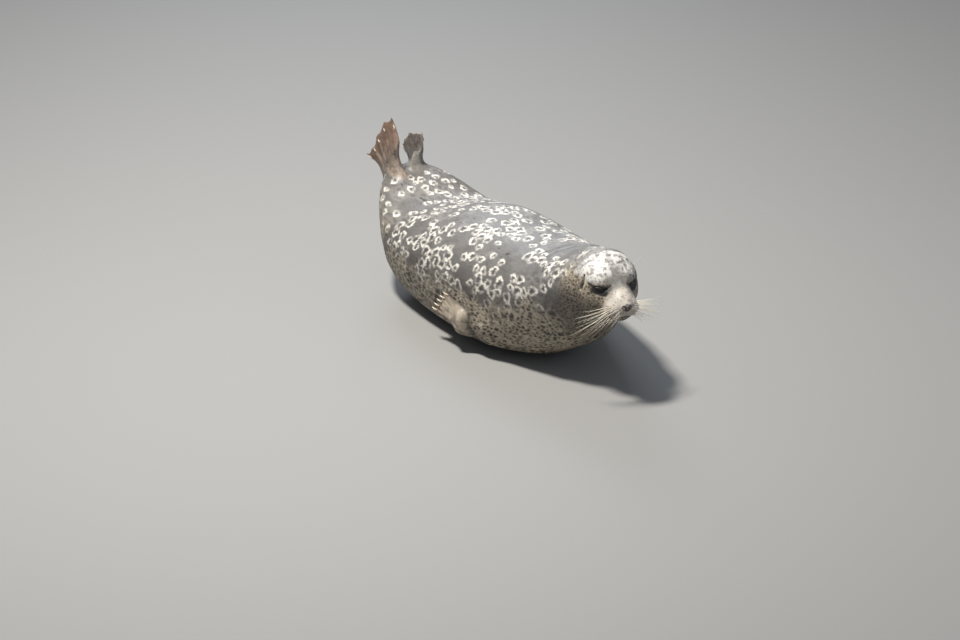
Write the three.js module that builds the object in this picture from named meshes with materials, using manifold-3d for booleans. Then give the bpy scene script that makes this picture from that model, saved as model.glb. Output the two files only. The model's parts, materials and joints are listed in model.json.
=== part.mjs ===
// Harbor seal (Phoca vitulina), an adult hauled out on its belly, with its neck drawn in, its head turned a
// little to its right and its hind flippers raised. Life-size still model, in millimetres.
// +Z is up, the seal faces -Y and its left side is +X. The origin is on the floor under the belly's midline.
import * as THREE from "three";
import { mergeVertices } from "three/addons/utils/BufferGeometryUtils.js";
import Module from "manifold-3d";

const wasm = await Module();
wasm.setup();

// ---------- driving dimensions ----------

const GAP = 0.4; // left between neighbouring pieces
const AROUND = 32; // points round each ring of the body

// Cross-sections of the trunk from the ankles to the back of the skull: y along the body, how far its axis
// lies to the left, the height of the axis, and how far the flesh reaches to each side, up and down from it.
const TRUNK = [
  { y: 430, sway: 0, axis: 304, side: 70, up: 26, down: 68 },
  { y: 404, sway: 0, axis: 289, side: 102, up: 38, down: 90 },
  { y: 366, sway: 0, axis: 266, side: 134, up: 56, down: 108 },
  { y: 300, sway: 0, axis: 222, side: 174, up: 82, down: 138 },
  { y: 220, sway: 0, axis: 186, side: 206, up: 92, down: 162 },
  { y: 120, sway: 0, axis: 172, side: 220, up: 126, down: 172 },
  { y: 0, sway: 0, axis: 166, side: 228, up: 162, down: 178 },
  { y: -120, sway: 0, axis: 166, side: 230, up: 172, down: 180 },
  { y: -240, sway: 0, axis: 172, side: 220, up: 166, down: 186 },
  { y: -350, sway: 0, axis: 190, side: 200, up: 156, down: 188 },
  { y: -440, sway: -2, axis: 218, side: 178, up: 146, down: 190 },
  { y: -520, sway: -6, axis: 254, side: 152, up: 132, down: 186 },
  { y: -580, sway: -10, axis: 286, side: 124, up: 110, down: 172 },
  { y: -620, sway: -14, axis: 308, side: 98, up: 86, down: 146 },
  { y: -660, sway: -19, axis: 326, side: 66, up: 54, down: 94 },
  { y: -695, sway: -24, axis: 332, side: 26, up: 24, down: 34 },
];
// The shoulder swells where the fore flipper leaves the body.
const SHOULDER = { at: [178, -290, 90], half: [42, 58, 46], blend: 44 };
const SQUARENESS = { above: 2.25, below: 3 }; // 2 is an ellipse
const CREASES = [
  { y: -452, depth: 4, width: 20, lean: 0.3 },
  { y: -534, depth: 6, width: 20, lean: 0.34 },
]; // rings of folded skin on the drawn-in neck; lean tips them back at the top

// The head's own frame: its middle, how far it is turned to the seal's right, dipped at the nose and tilted.
const HEAD = { middle: [-19, -650, 341], turn: 10, dip: 12, tilt: 0 };
// Masses of the head, each an ellipsoid at [left, forward, up] in the head's frame, with half sizes to match.
const SKULL_MASSES = [
  { name: "cranium", at: [0, -12, 2], half: [91, 98, 78], blend: 30 },
  { name: "cheek", at: [50, 6, -32], half: [44, 70, 44], blend: 26, pair: true },
  { name: "brow", at: [36, 38, 28], half: [25, 30, 22], blend: 20, pair: true },
  { name: "maxilla", at: [0, 66, -26], half: [47, 64, 36], blend: 30 },
  { name: "bridge", at: [0, 80, -4], half: [29, 54, 27], blend: 22 },
  { name: "whisker_pad", at: [26, 112, -28], half: [25, 31, 23], blend: 20, pair: true },
  { name: "nose_tip", at: [0, 130, -11], half: [17, 15, 14], blend: 11 },
  { name: "jaw", at: [0, 70, -54], half: [37, 58, 21], blend: 18 },
  { name: "chin", at: [0, 110, -57], half: [22, 19, 13], blend: 12 },
];
// The eyeball, the way it looks, the lids' thickness and the opening that drowsy lids leave: its width, its
// depth, how far its upper edge sags and how far its outer corner drops.
const EYE = {
  at: [42, 48, 12],
  radius: 21,
  outward: 36,
  upward: 14,
  lid: 2.6,
  slit: 37,
  drop: 12,
  sag: 2,
  cant: 7,
};
// Where the body is parted: between neck, chest, belly, loin and rump along y, and behind the head and the
// muzzle in the head's frame.
const CUTS = { neck: -395, chest: -150, belly: 110, loin: 300 };
const HEAD_BACK = -58;
const MUZZLE_FORWARD = 84;
const THROAT = { up: -82, forward: 62 }; // the flesh below and behind this is the throat
const MOUTH = { up: -48, back: 40, half: 46, tilt: 3 }; // the line between the lips
const NOSE_PAD = { wide: 34, tall: 24, forward: 122, up: -9 };

const TAIL = { root: [14, 374, 306], rise: 84, length: 112, half: 24, thick: 13 };

// Hind flippers: the heel, the directions of the lower and upper edges in degrees above level, how much
// steeper the upper edge starts, how far the lower and the upper edge reach from the heel, how far the web
// between them falls short, how far the flipper turns outwards and half its width at the heel.
const HIND = {
  right: {
    heel: [-46, 372, 262],
    lower: 27,
    upper: 78,
    curl: 44,
    reach: [184, 240],
    notch: 0.12,
    splay: 6,
    half: 62,
  },
  left: {
    heel: [44, 388, 258],
    lower: 44,
    upper: 88,
    curl: 12,
    reach: [146, 178],
    notch: -0.05,
    splay: 0,
    half: 44,
  },
};
const HIND_TIP_HALF = 12;
const HIND_THICK = { heel: 66, foot: 25, web: 7, ridge: 3 };
const DIGITS = 5;

// Fore flippers lie back along the flanks: where the wrist and the finger tips are, and the blade's size.
const FORE = {
  wristY: -276,
  tipY: -126,
  wristZ: 84,
  tipZ: 126,
  half: 43,
  tipHalf: 34,
  thick: 36,
  tipThick: 14,
  lean: 19, // degrees that the lower edge stands off the flank
  sink: 62, // how deep the wrist starts in the flesh
  rake: 18, // how much further back the lower digits reach than the middle one
};

const CLAW = {
  fore: { length: 31, radius: 3.7, hook: 0.16 },
  hind: { length: 17, radius: 2.6, hook: 0.3 },
};

// ---------- small helpers ----------

const rad = THREE.MathUtils.degToRad;
const mix = THREE.MathUtils.lerp;
const vec = (a) => new THREE.Vector3(...a);

// A smooth curve through the values of one key of a table that is sorted by falling y.
function along(table, key, y) {
  const last = table.length - 1;
  let i = 0;
  while (i < last - 1 && y < table[i + 1].y) i++;
  const slope = (k) => {
    const a = table[Math.max(k - 1, 0)];
    const b = table[Math.min(k + 1, last)];
    return (b[key] - a[key]) / (b.y - a.y);
  };
  const from = table[i];
  const to = table[i + 1];
  const span = to.y - from.y;
  const t = THREE.MathUtils.clamp((y - from.y) / span, 0, 1);
  const t2 = t * t;
  const t3 = t2 * t;
  return (
    from[key] * (2 * t3 - 3 * t2 + 1) +
    slope(i) * span * (t3 - 2 * t2 + t) +
    to[key] * (3 * t2 - 2 * t3) +
    slope(i + 1) * span * (t3 - t2)
  );
}

function smoothUnion(a, b, blend) {
  const h = Math.max(blend - Math.abs(a - b), 0) / blend;
  return Math.min(a, b) - (h * h * blend) / 4;
}

function ellipsoidDistance(p, at, half) {
  const x = (p.x - at[0]) / half[0];
  const y = (p.y - at[1]) / half[1];
  const z = (p.z - at[2]) / half[2];
  const near = Math.hypot(x, y, z);
  const far = Math.hypot(x / half[0], y / half[1], z / half[2]);
  return far < 1e-9 ? -Math.min(...half) : (near * (near - 1)) / far;
}

// ---------- the body as one field: negative inside the flesh ----------

const headTurn = new THREE.Matrix4()
  .makeRotationZ(rad(-HEAD.turn))
  .multiply(new THREE.Matrix4().makeRotationX(rad(HEAD.dip)))
  .multiply(new THREE.Matrix4().makeRotationY(rad(HEAD.tilt)));
// The seal faces -Y, so forward in the head's frame is turned to -Y.
const headFrame = new THREE.Matrix4()
  .setPosition(...HEAD.middle)
  .multiply(headTurn)
  .multiply(new THREE.Matrix4().makeScale(1, -1, 1));
const toHead = headFrame.clone().invert();
const inHead = (l, f, u) => new THREE.Vector3(l, f, u).applyMatrix4(headFrame);
const headway = (l, f, u) => inHead(l, f, u).sub(inHead(0, 0, 0));

function trunkDistance(p) {
  const y = THREE.MathUtils.clamp(p.y, TRUNK.at(-1).y, TRUNK[0].y);
  const rise = p.z - along(TRUNK, "axis", y);
  const reach = along(TRUNK, rise > 0 ? "up" : "down", y);
  const side = along(TRUNK, "side", y);
  const n = rise > 0 ? SQUARENESS.above : SQUARENESS.below;
  const out = p.x - along(TRUNK, "sway", y);
  const q = (Math.abs(out / side) ** n + Math.abs(rise / reach) ** n) ** (1 / n);
  let fold = 0;
  for (const c of CREASES) {
    const off = (p.y - c.y - c.lean * rise) / c.width;
    fold += c.depth * Math.exp(-off * off);
  }
  const radial = (q - 1) * Math.min(side, reach) + fold;
  const past = Math.abs(p.y - y);
  return past > 0 ? Math.hypot(Math.max(radial, 0), past) + Math.min(radial, 0) : radial;
}

function headDistance(p) {
  const q = p.clone().applyMatrix4(toHead);
  let d = Infinity;
  for (const m of SKULL_MASSES) {
    if (m.pair) q.x = Math.abs(q.x);
    const e = ellipsoidDistance(q, m.at, m.half);
    d = d === Infinity ? e : smoothUnion(d, e, m.blend);
  }
  q.x = Math.abs(q.x);
  const lid = q.distanceTo(vec(EYE.at)) - EYE.radius - EYE.lid;
  return smoothUnion(d, lid, 9);
}

const NECK_BLEND = 24;

function bodyDistance(p) {
  const mirrored = new THREE.Vector3(Math.abs(p.x), p.y, p.z);
  const shoulder = ellipsoidDistance(mirrored, SHOULDER.at, SHOULDER.half);
  const trunk = smoothUnion(trunkDistance(p), shoulder, SHOULDER.blend);
  return smoothUnion(trunk, headDistance(p), NECK_BLEND);
}

// Where a ray from a point inside the flesh comes out of it, or out of the flesh swollen by extra.
function surfaceAlong(from, direction, extra = 0) {
  const at = (r) => bodyDistance(from.clone().addScaledVector(direction, r)) - extra;
  const STEP = 7;
  let near = 0;
  let far = STEP;
  while (at(far) < 0 && far < 600) {
    near = far;
    far += STEP;
  }
  for (let i = 0; i < 14; i++) {
    const middle = (near + far) / 2;
    if (at(middle) < 0) near = middle;
    else far = middle;
  }
  return from.clone().addScaledVector(direction, (near + far) / 2);
}

// ---------- meshes ----------

// A closed tube through rings of points, its ends closed by strips across them. Rings turn anticlockwise when
// seen from ahead of the last ring.
function closedTube(rings) {
  const around = rings[0].length;
  const position = rings.flat().flatMap((p) => [p.x, p.y, p.z]);
  const index = [];
  for (let i = 0; i < rings.length - 1; i++) {
    for (let j = 0; j < around; j++) {
      const a = i * around + j;
      const b = i * around + ((j + 1) % around);
      index.push(a, b, a + around, b, b + around, a + around);
    }
  }
  const end = (rings.length - 1) * around;
  for (let j = 0; j < around / 2; j++) {
    const k = around - j;
    if (j < around / 2 - 1) index.push(j, k - 1, j + 1, end + j, end + j + 1, end + k - 1);
    if (j > 0) index.push(j, k, k - 1, end + j, end + k - 1, end + k);
  }
  const geometry = new THREE.BufferGeometry();
  geometry.setAttribute("position", new THREE.Float32BufferAttribute(position, 3));
  geometry.setIndex(index);
  return geometry;
}

function solid(geometry) {
  const bare = geometry.clone();
  bare.deleteAttribute("normal");
  bare.deleteAttribute("uv");
  const merged = mergeVertices(bare, 1e-4);
  const mesh = new wasm.Mesh({
    numProp: 3,
    vertProperties: new Float32Array(merged.attributes.position.array),
    triVerts: new Uint32Array(merged.index.array),
  });
  const made = new wasm.Manifold(mesh);
  if (made.volume() > 0) return made;
  for (let i = 0; i < mesh.triVerts.length; i += 3) {
    [mesh.triVerts[i + 1], mesh.triVerts[i + 2]] = [mesh.triVerts[i + 2], mesh.triVerts[i + 1]];
  }
  return new wasm.Manifold(mesh);
}

function geometryOf(manifold) {
  const mesh = manifold.getMesh();
  const geometry = new THREE.BufferGeometry();
  geometry.setAttribute("position", new THREE.BufferAttribute(new Float32Array(mesh.vertProperties), 3));
  geometry.setIndex(new THREE.BufferAttribute(new Uint32Array(mesh.triVerts), 1));
  geometry.computeVertexNormals();
  return geometry;
}

// A block from one corner to the other in the part's frame, or in the head's frame.
function block(low, high, frame = new THREE.Matrix4()) {
  const size = vec(high).sub(vec(low));
  const middle = vec(low).addScaledVector(size, 0.5);
  const box = new THREE.BoxGeometry(size.x, size.y, size.z);
  box.translate(middle.x, middle.y, middle.z);
  return solid(box.applyMatrix4(frame));
}

const largest = (manifold) => manifold.decompose().sort((a, b) => b.volume() - a.volume())[0];

// ---------- the whole body, as rays cast from its axis ----------

const RINGS = { trunk: 14, neck: 9, face: 16, rump: 3 };
const NECK_FROM = -420;
const HEAD_CAST = 8; // the face's rays start this far ahead of the head's middle
const RUMP_RISE = 32; // degrees that the rump and the heels point upwards

function bodySolid(extra) {
  const castMiddle = inHead(0, HEAD_CAST, -6);
  const faceAxis = headway(0, 1, 0).normalize();
  const trunkAxis = new THREE.Vector3(0, -1, 0);
  const frames = [];
  const onAxis = (y) => new THREE.Vector3(along(TRUNK, "sway", y), y, along(TRUNK, "axis", y));
  const rumpMiddle = onAxis(TRUNK[0].y - 20);
  const rumpAxis = new THREE.Vector3(0, Math.cos(rad(RUMP_RISE)), Math.sin(rad(RUMP_RISE)));
  for (let i = RINGS.rump; i >= 1; i--) {
    const open = -90 * (i / (RINGS.rump + 0.35));
    frames.push({ middle: rumpMiddle, axis: rumpAxis.clone().negate(), open });
  }
  for (let i = 0; i <= RINGS.trunk; i++) {
    const t = i / RINGS.trunk;
    const y = mix(TRUNK[0].y - 30, NECK_FROM, t);
    const lean = rad(RUMP_RISE) * Math.max(0, 1 - t * 3);
    const axis = new THREE.Vector3(0, -Math.cos(lean), -Math.sin(lean));
    frames.push({ middle: onAxis(y), axis, open: 0 });
  }
  for (let i = 1; i <= RINGS.neck; i++) {
    const t = i / RINGS.neck;
    const y = mix(NECK_FROM, castMiddle.y, t);
    const middle = onAxis(y).lerp(castMiddle, t ** 2);
    frames.push({ middle, axis: trunkAxis.clone().lerp(faceAxis, t).normalize(), open: 0 });
  }
  for (let i = 1; i < RINGS.face; i++) {
    frames.push({ middle: castMiddle, axis: faceAxis, open: 90 * (1 - (1 - i / RINGS.face) ** 1.35) });
  }
  const rings = frames.map(({ middle, axis, open }) => {
    const left = new THREE.Vector3(0, 0, 1).cross(axis).negate().normalize();
    const up = axis.clone().cross(left).negate().normalize();
    return Array.from({ length: AROUND }, (_, j) => {
      const a = (2 * Math.PI * j) / AROUND;
      const direction = left.clone().multiplyScalar(Math.cos(a)).addScaledVector(up, Math.sin(a));
      direction.multiplyScalar(Math.cos(rad(open))).addScaledVector(axis, Math.sin(rad(open)));
      return surfaceAlong(middle, direction, extra);
    });
  });
  return solid(closedTube(rings));
}

// ---------- flippers and tail ----------

// One ring of a flattened limb: an oval across the limb with its two faces raised over the digits.
function limbRing({ middle, across, normal, half, thick, ridge = 0, swell = 0, shift = null }, around) {
  return Array.from({ length: around }, (_, j) => {
    const a = (2 * Math.PI * j) / around;
    const v = Math.cos(a);
    const bulge = Math.sqrt(Math.max(1 - v ** 4, 0));
    const digits = 0.5 + 0.5 * Math.cos(Math.PI * (DIGITS - 1) * (v + 1));
    const rise = Math.sign(Math.sin(a)) * bulge * ((thick / 2) * (1 + swell * v) + ridge * digits * bulge);
    return middle
      .clone()
      .addScaledVector(across, v * half)
      .addScaledVector(normal, Math.abs(Math.sin(a)) < 1e-6 ? 0 : rise)
      .add(shift ? shift(v) : new THREE.Vector3());
  });
}

const LIMB_AROUND = 20;

// A hind flipper fans out from the heel in an upright plane, turned outwards by its splay. Its outer digits,
// which make the upper and lower edges, are the longest.
function hindPoint(flipper, t, v) {
  const heel = vec(flipper.heel);
  const spread = THREE.MathUtils.smoothstep(t, 0.25, 1);
  const upper = flipper.upper + flipper.curl * (1 - t);
  const middleAngle = (flipper.lower + upper) / 2;
  const fan = (upper - flipper.lower) / 2;
  const angle = rad(mix(RUMP_RISE, middleAngle, Math.min(1, t * 1.5)) + fan * v * spread);
  const notch = 1 - flipper.notch * Math.max(0, 1 - ((v + 0.25) / 0.75) ** 2) * spread;
  const scallop = 1 - 0.03 * (1 - Math.cos(Math.PI * (DIGITS - 1) * (v + 1))) * spread;
  const out = mix(...flipper.reach, (v + 1) / 2) * t * notch * scallop;
  const twist = rad(flipper.splay) * Math.sign(flipper.heel[0]);
  const level = new THREE.Vector3(Math.sin(twist), Math.cos(twist), 0);
  const width = mix(flipper.half, HIND_TIP_HALF, spread);
  const across = new THREE.Vector3(0, -Math.sin(angle), Math.cos(angle));
  return heel
    .addScaledVector(level, out * Math.cos(angle))
    .addScaledVector(new THREE.Vector3(0, 0, 1), out * Math.sin(angle))
    .addScaledVector(across, width * v);
}

function hindFlipper(flipper) {
  const STEPS = 9;
  const rings = [];
  // The rings' points are placed by hindPoint alone, so the ring itself has no middle and no width.
  const middle = new THREE.Vector3();
  const across = new THREE.Vector3();
  const normal = new THREE.Vector3(1, 0, 0);
  for (let i = 0; i <= STEPS; i++) {
    const t = i / STEPS;
    const thin = THREE.MathUtils.smoothstep(t, 0, 0.45);
    const edge = THREE.MathUtils.smoothstep(t, 0.4, 1);
    const thick = mix(mix(HIND_THICK.heel, HIND_THICK.foot, thin), HIND_THICK.web, edge);
    const ridge = HIND_THICK.ridge * thin * (1 - 0.5 * edge);
    const shift = (v) => hindPoint(flipper, t, v);
    const ring = { middle, across, normal, half: 0, thick, ridge, swell: 0.45 * thin, shift };
    rings.push(limbRing(ring, LIMB_AROUND));
  }
  return solid(closedTube(rings));
}

// A point on the flank at a height, on the seal's right (side -1) or left (side 1).
function flankPoint(side, y, z) {
  const from = new THREE.Vector3(0, y, z);
  return surfaceAlong(from, new THREE.Vector3(side, 0, 0));
}

function forePath(side, t) {
  const y = mix(FORE.wristY, FORE.tipY, t);
  const z = mix(FORE.wristZ, FORE.tipZ, t);
  const on = flankPoint(side, y, z);
  const above = flankPoint(side, y, z + 12);
  const below = flankPoint(side, y, z - 12);
  const ahead = flankPoint(side, y - 12, z);
  const behind = flankPoint(side, y + 12, z);
  const upward = above.sub(below).normalize();
  const backward = behind.sub(ahead).normalize();
  const outward = backward.clone().cross(upward).normalize();
  if (outward.x * side < 0) outward.negate();
  // The blade leans: its upper edge lies against the flank and its lower edge stands off.
  const lean = rad(FORE.lean);
  const across = upward.clone().multiplyScalar(Math.cos(lean)).addScaledVector(outward, -Math.sin(lean));
  const facing = outward.clone().multiplyScalar(Math.cos(lean)).addScaledVector(upward, Math.sin(lean));
  return { on, upward: across, backward, outward: facing };
}

const FORE_RIDGE = 2.6; // how far the digits stand proud of the web
// How far the leaning blade's middle stands off the flank, and how far back each digit's tip reaches.
const standOff = (half) => Math.sin(rad(FORE.lean)) * half * 0.8;
const foreRake = (v) => -FORE.rake * v;
const foreScallop = (v) => 3 * (1 - Math.cos(Math.PI * (DIGITS - 1) * (v + 1)));

function foreFlipper(side) {
  const STEPS = 9;
  const rings = [];
  for (let i = 0; i <= STEPS; i++) {
    const t = i / STEPS;
    const { on, upward, backward, outward } = forePath(side, t);
    const root = 1 - THREE.MathUtils.smoothstep(t, 0, 0.32);
    const half = mix(FORE.half, FORE.tipHalf, t) * (1 - 0.22 * root);
    const thick = mix(FORE.thick, FORE.tipThick, THREE.MathUtils.smoothstep(t, 0.05, 0.75));
    const lift = thick / 2 - FORE.sink * root - 5 + standOff(half);
    const middle = on.clone().addScaledVector(outward, lift);
    const shift = (v) => backward.clone().multiplyScalar(t * t * foreRake(v) - t * foreScallop(v));
    const ring = { middle, across: upward, normal: outward, half, thick, ridge: FORE_RIDGE * t, shift };
    rings.push(limbRing(ring, LIMB_AROUND));
  }
  return solid(closedTube(rings));
}

function tail(extra) {
  const STEPS = 6;
  const rings = [];
  for (let i = 0; i <= STEPS; i++) {
    const t = i / STEPS;
    const rise = rad(TAIL.rise);
    const direction = new THREE.Vector3(0, Math.cos(rise), Math.sin(rise));
    const normal = new THREE.Vector3(0, -Math.sin(rise), Math.cos(rise));
    const length = TAIL.length + extra * (i === STEPS ? 1 : 0);
    const middle = vec(TAIL.root).addScaledVector(direction, length * (t - 0.3));
    const round = Math.sqrt(Math.max(1 - Math.max(t - 0.45, 0) ** 2 / 0.34, 0.05));
    const thick = TAIL.thick * (1.6 - 0.7 * t) * Math.sqrt(round) + 2 * extra;
    const across = new THREE.Vector3(-1, 0, 0);
    rings.push(limbRing({ middle, across, normal, half: TAIL.half * round + extra, thick }, 16));
  }
  return solid(closedTube(rings));
}

// ---------- claws and eyes ----------

// A curved claw from its root along one direction, hooked down along another.
function claw(root, direction, hook, { length, radius, hook: bend }, extra) {
  const STEPS = 2;
  const AROUND_CLAW = 6;
  const side = direction.clone().cross(hook).normalize();
  const rings = [];
  for (let i = 0; i <= STEPS; i++) {
    const t = i / STEPS;
    const middle = root.clone().addScaledVector(direction, length * t);
    middle.addScaledVector(hook, length * bend * t * t);
    const r = radius * (1 - 0.86 * t ** 1.4) + extra;
    rings.push(
      Array.from({ length: AROUND_CLAW }, (_, j) => {
        const a = (2 * Math.PI * j) / AROUND_CLAW;
        const point = middle.clone().addScaledVector(side, r * 0.75 * Math.cos(a));
        return point.addScaledVector(hook, r * Math.sin(a));
      }),
    );
  }
  return solid(closedTube(rings));
}

const digitPlace = (k) => -0.93 + (1.86 * k) / (DIGITS - 1);

function hindClaw(flipper, k, extra) {
  const v = digitPlace(k);
  const root = hindPoint(flipper, 0.88, v);
  const direction = hindPoint(flipper, 0.98, v).sub(hindPoint(flipper, 0.86, v)).normalize();
  const outward = new THREE.Vector3(Math.sign(flipper.heel[0]), 0, 0);
  root.addScaledVector(outward, HIND_THICK.web / 2 + 1.2);
  return claw(root, direction, outward.negate(), CLAW.hind, extra);
}

function foreClaw(side, k, extra) {
  const v = digitPlace(k) * 0.92;
  const { on, upward, backward, outward } = forePath(side, 1);
  const root = on
    .clone()
    .addScaledVector(outward, FORE.tipThick / 2 - 2 + standOff(FORE.tipHalf))
    .addScaledVector(upward, v * FORE.tipHalf)
    .addScaledVector(backward, foreRake(v) - 8);
  return claw(root, backward, outward.clone().negate(), CLAW.fore, extra);
}

function eyeball(side) {
  const middle = inHead(side * EYE.at[0], EYE.at[1], EYE.at[2]);
  const ball = new THREE.SphereGeometry(EYE.radius, 14, 8);
  return ball.translate(middle.x, middle.y, middle.z);
}

// The opening between the lids of a drowsy eye: the upper lid hangs low and the lower lid sags beneath it.
function eyeOpening(side) {
  const { slit, drop, sag, outward, upward, cant } = EYE;
  const shape = new THREE.Shape();
  shape.moveTo(-slit / 2, 0);
  shape.quadraticCurveTo(0, -sag, slit / 2, 0);
  shape.quadraticCurveTo(0, -sag - drop * 1.6, -slit / 2, 0);
  const cut = new THREE.ExtrudeGeometry(shape, { depth: 40, bevelEnabled: false, curveSegments: 6 });
  cut.rotateZ(rad(-side * cant));
  // The extrusion runs along +Z: stand it up so that it looks out along the eye's own axis.
  const aside = rad(outward);
  const gaze = headway(side * Math.sin(aside), Math.cos(aside), Math.tan(rad(upward))).normalize();
  const up = headway(0, 0, 1);
  const across = up.clone().cross(gaze).normalize();
  const frame = new THREE.Matrix4().makeBasis(across, gaze.clone().cross(across), gaze);
  frame.setPosition(inHead(side * EYE.at[0], EYE.at[1], EYE.at[2]));
  return solid(cut.applyMatrix4(frame));
}

// ---------- parting the body into its named pieces ----------

const BIG = 900; // reaches past the whole seal
const whole = bodySolid(0);
const swollen = bodySolid(GAP);
const underFloor = block([-BIG, -BIG, -BIG], [BIG, BIG, 0]);
const body = whole.subtract(underFloor);

// Slices of the trunk between two y values.
const slice = (from, to) => body.intersect(block([-BIG, from + GAP / 2, -BIG], [BIG, to - GAP / 2, BIG]));
const headSide = block([-BIG, HEAD_BACK, -BIG], [BIG, BIG, BIG], headFrame);
const neckSide = block([-BIG, -BIG, -BIG], [BIG, HEAD_BACK - GAP, BIG], headFrame);
const throatSide = (gap) =>
  block([-BIG, -BIG, -BIG], [BIG, THROAT.forward - gap, THROAT.up - gap], headFrame);

const front = body.intersect(block([-BIG, -BIG, -BIG], [BIG, CUTS.neck - GAP / 2, BIG]));
const pieces = {};
pieces.neck = largest(front.intersect(neckSide));
pieces.chest = slice(CUTS.neck, CUTS.chest);
pieces.belly = slice(CUTS.chest, CUTS.belly);
pieces.loin = slice(CUTS.belly, CUTS.loin);
pieces.rump = slice(CUTS.loin, BIG);

pieces.throat = largest(front.intersect(headSide).intersect(throatSide(GAP)));
let head = largest(front.intersect(headSide).subtract(throatSide(0)));
for (const side of [-1, 1]) {
  const ball = eyeball(side);
  const middle = inHead(side * EYE.at[0], EYE.at[1], EYE.at[2]);
  const socket = ball.clone().translate(-middle.x, -middle.y, -middle.z);
  socket.scale(1 + GAP / EYE.radius, 1 + GAP / EYE.radius, 1 + GAP / EYE.radius);
  socket.translate(middle.x, middle.y, middle.z);
  head = head.subtract(solid(socket)).subtract(eyeOpening(side));
  pieces[side < 0 ? "eye_right" : "eye_left"] = solid(ball);
}
const mouthFrame = headFrame.clone().multiply(new THREE.Matrix4().makeTranslation(0, 0, MOUTH.up));
mouthFrame.multiply(new THREE.Matrix4().makeRotationX(rad(MOUTH.tilt)));
const below = (gap) =>
  block([-MOUTH.half + gap, MOUTH.back + gap, -BIG], [MOUTH.half - gap, BIG, -gap], mouthFrame);
const ahead = (gap) => block([-BIG, MUZZLE_FORWARD + gap, -BIG], [BIG, BIG, BIG], headFrame);
function noseShape(gap) {
  // The bare nose is broad above and narrows to the lip.
  const wide = NOSE_PAD.wide / 2 - gap;
  const tall = NOSE_PAD.tall / 2 - gap;
  const shape = new THREE.Shape();
  shape.moveTo(-wide * 0.45, -tall);
  shape.lineTo(wide * 0.45, -tall);
  shape.quadraticCurveTo(wide * 1.1, -tall * 0.2, wide, tall * 0.5);
  shape.quadraticCurveTo(wide * 0.8, tall, 0, tall);
  shape.quadraticCurveTo(-wide * 0.8, tall, -wide, tall * 0.5);
  shape.quadraticCurveTo(-wide * 1.1, -tall * 0.2, -wide * 0.45, -tall);
  const cut = new THREE.ExtrudeGeometry(shape, { depth: 80, bevelEnabled: false, curveSegments: 2 });
  cut.rotateX(-Math.PI / 2);
  cut.translate(0, NOSE_PAD.forward + gap, NOSE_PAD.up);
  return solid(cut.applyMatrix4(headFrame));
}
pieces.lower_jaw = largest(head.intersect(below(GAP / 2)));
head = head.subtract(below(0));
pieces.nose = largest(head.intersect(noseShape(GAP / 2)));
head = head.subtract(noseShape(0));
pieces.muzzle = largest(head.intersect(ahead(GAP / 2)));
pieces.head = largest(head.subtract(ahead(0)));

const NAMES = { "-1": "right", 1: "left" };
for (const side of [-1, 1]) {
  const name = NAMES[side];
  const hind = HIND[name];
  const fore = foreFlipper(side).subtract(underFloor);
  pieces[`fore_flipper_${name}`] = largest(fore.subtract(swollen));
  pieces[`hind_flipper_${name}`] = largest(hindFlipper(hind).subtract(swollen).subtract(tail(GAP)));
}
pieces.tail = largest(tail(0).subtract(swollen));
for (const side of [-1, 1]) {
  const name = NAMES[side];
  const kinds = { fore: (...of) => foreClaw(side, ...of), hind: (...of) => hindClaw(HIND[name], ...of) };
  for (const [kind, make] of Object.entries(kinds)) {
    for (let k = 0; k < DIGITS; k++) {
      const flipper = `${kind}_flipper_${name}`;
      pieces[`${kind}_claw_${name}_${k + 1}`] = largest(make(k, 0).subtract(swollen));
      pieces[flipper] = largest(pieces[flipper].subtract(make(k, GAP)));
    }
  }
}

// ---------- the seal ----------

const FINISHES = {
  coat: new THREE.MeshStandardMaterial({ color: 0x7d766e, roughness: 0.6, metalness: 0 }),
  skin: new THREE.MeshStandardMaterial({ color: 0x8a7767, roughness: 0.6, metalness: 0 }),
  eye: new THREE.MeshStandardMaterial({ color: 0x15100d, roughness: 0.08, metalness: 0 }),
  nose: new THREE.MeshStandardMaterial({ color: 0x6c655f, roughness: 0.45, metalness: 0 }),
  claw: new THREE.MeshStandardMaterial({ color: 0xcfc5b2, roughness: 0.4, metalness: 0 }),
};

function finishOf(name) {
  if (name.startsWith("eye")) return FINISHES.eye;
  if (name.includes("claw")) return FINISHES.claw;
  if (name === "nose") return FINISHES.nose;
  if (name.startsWith("hind")) return FINISHES.skin;
  return FINISHES.coat;
}

const seal = new THREE.Group();
for (const [name, piece] of Object.entries(pieces)) {
  const mesh = new THREE.Mesh(geometryOf(piece), finishOf(name));
  mesh.name = name;
  seal.add(mesh);
}

export default seal;
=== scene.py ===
"""Looks of a life-size still model of a harbor seal resting on its belly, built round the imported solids."""
import json
import math

import bpy
import numpy as np
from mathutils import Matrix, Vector
from mathutils.bvhtree import BVHTree

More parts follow.
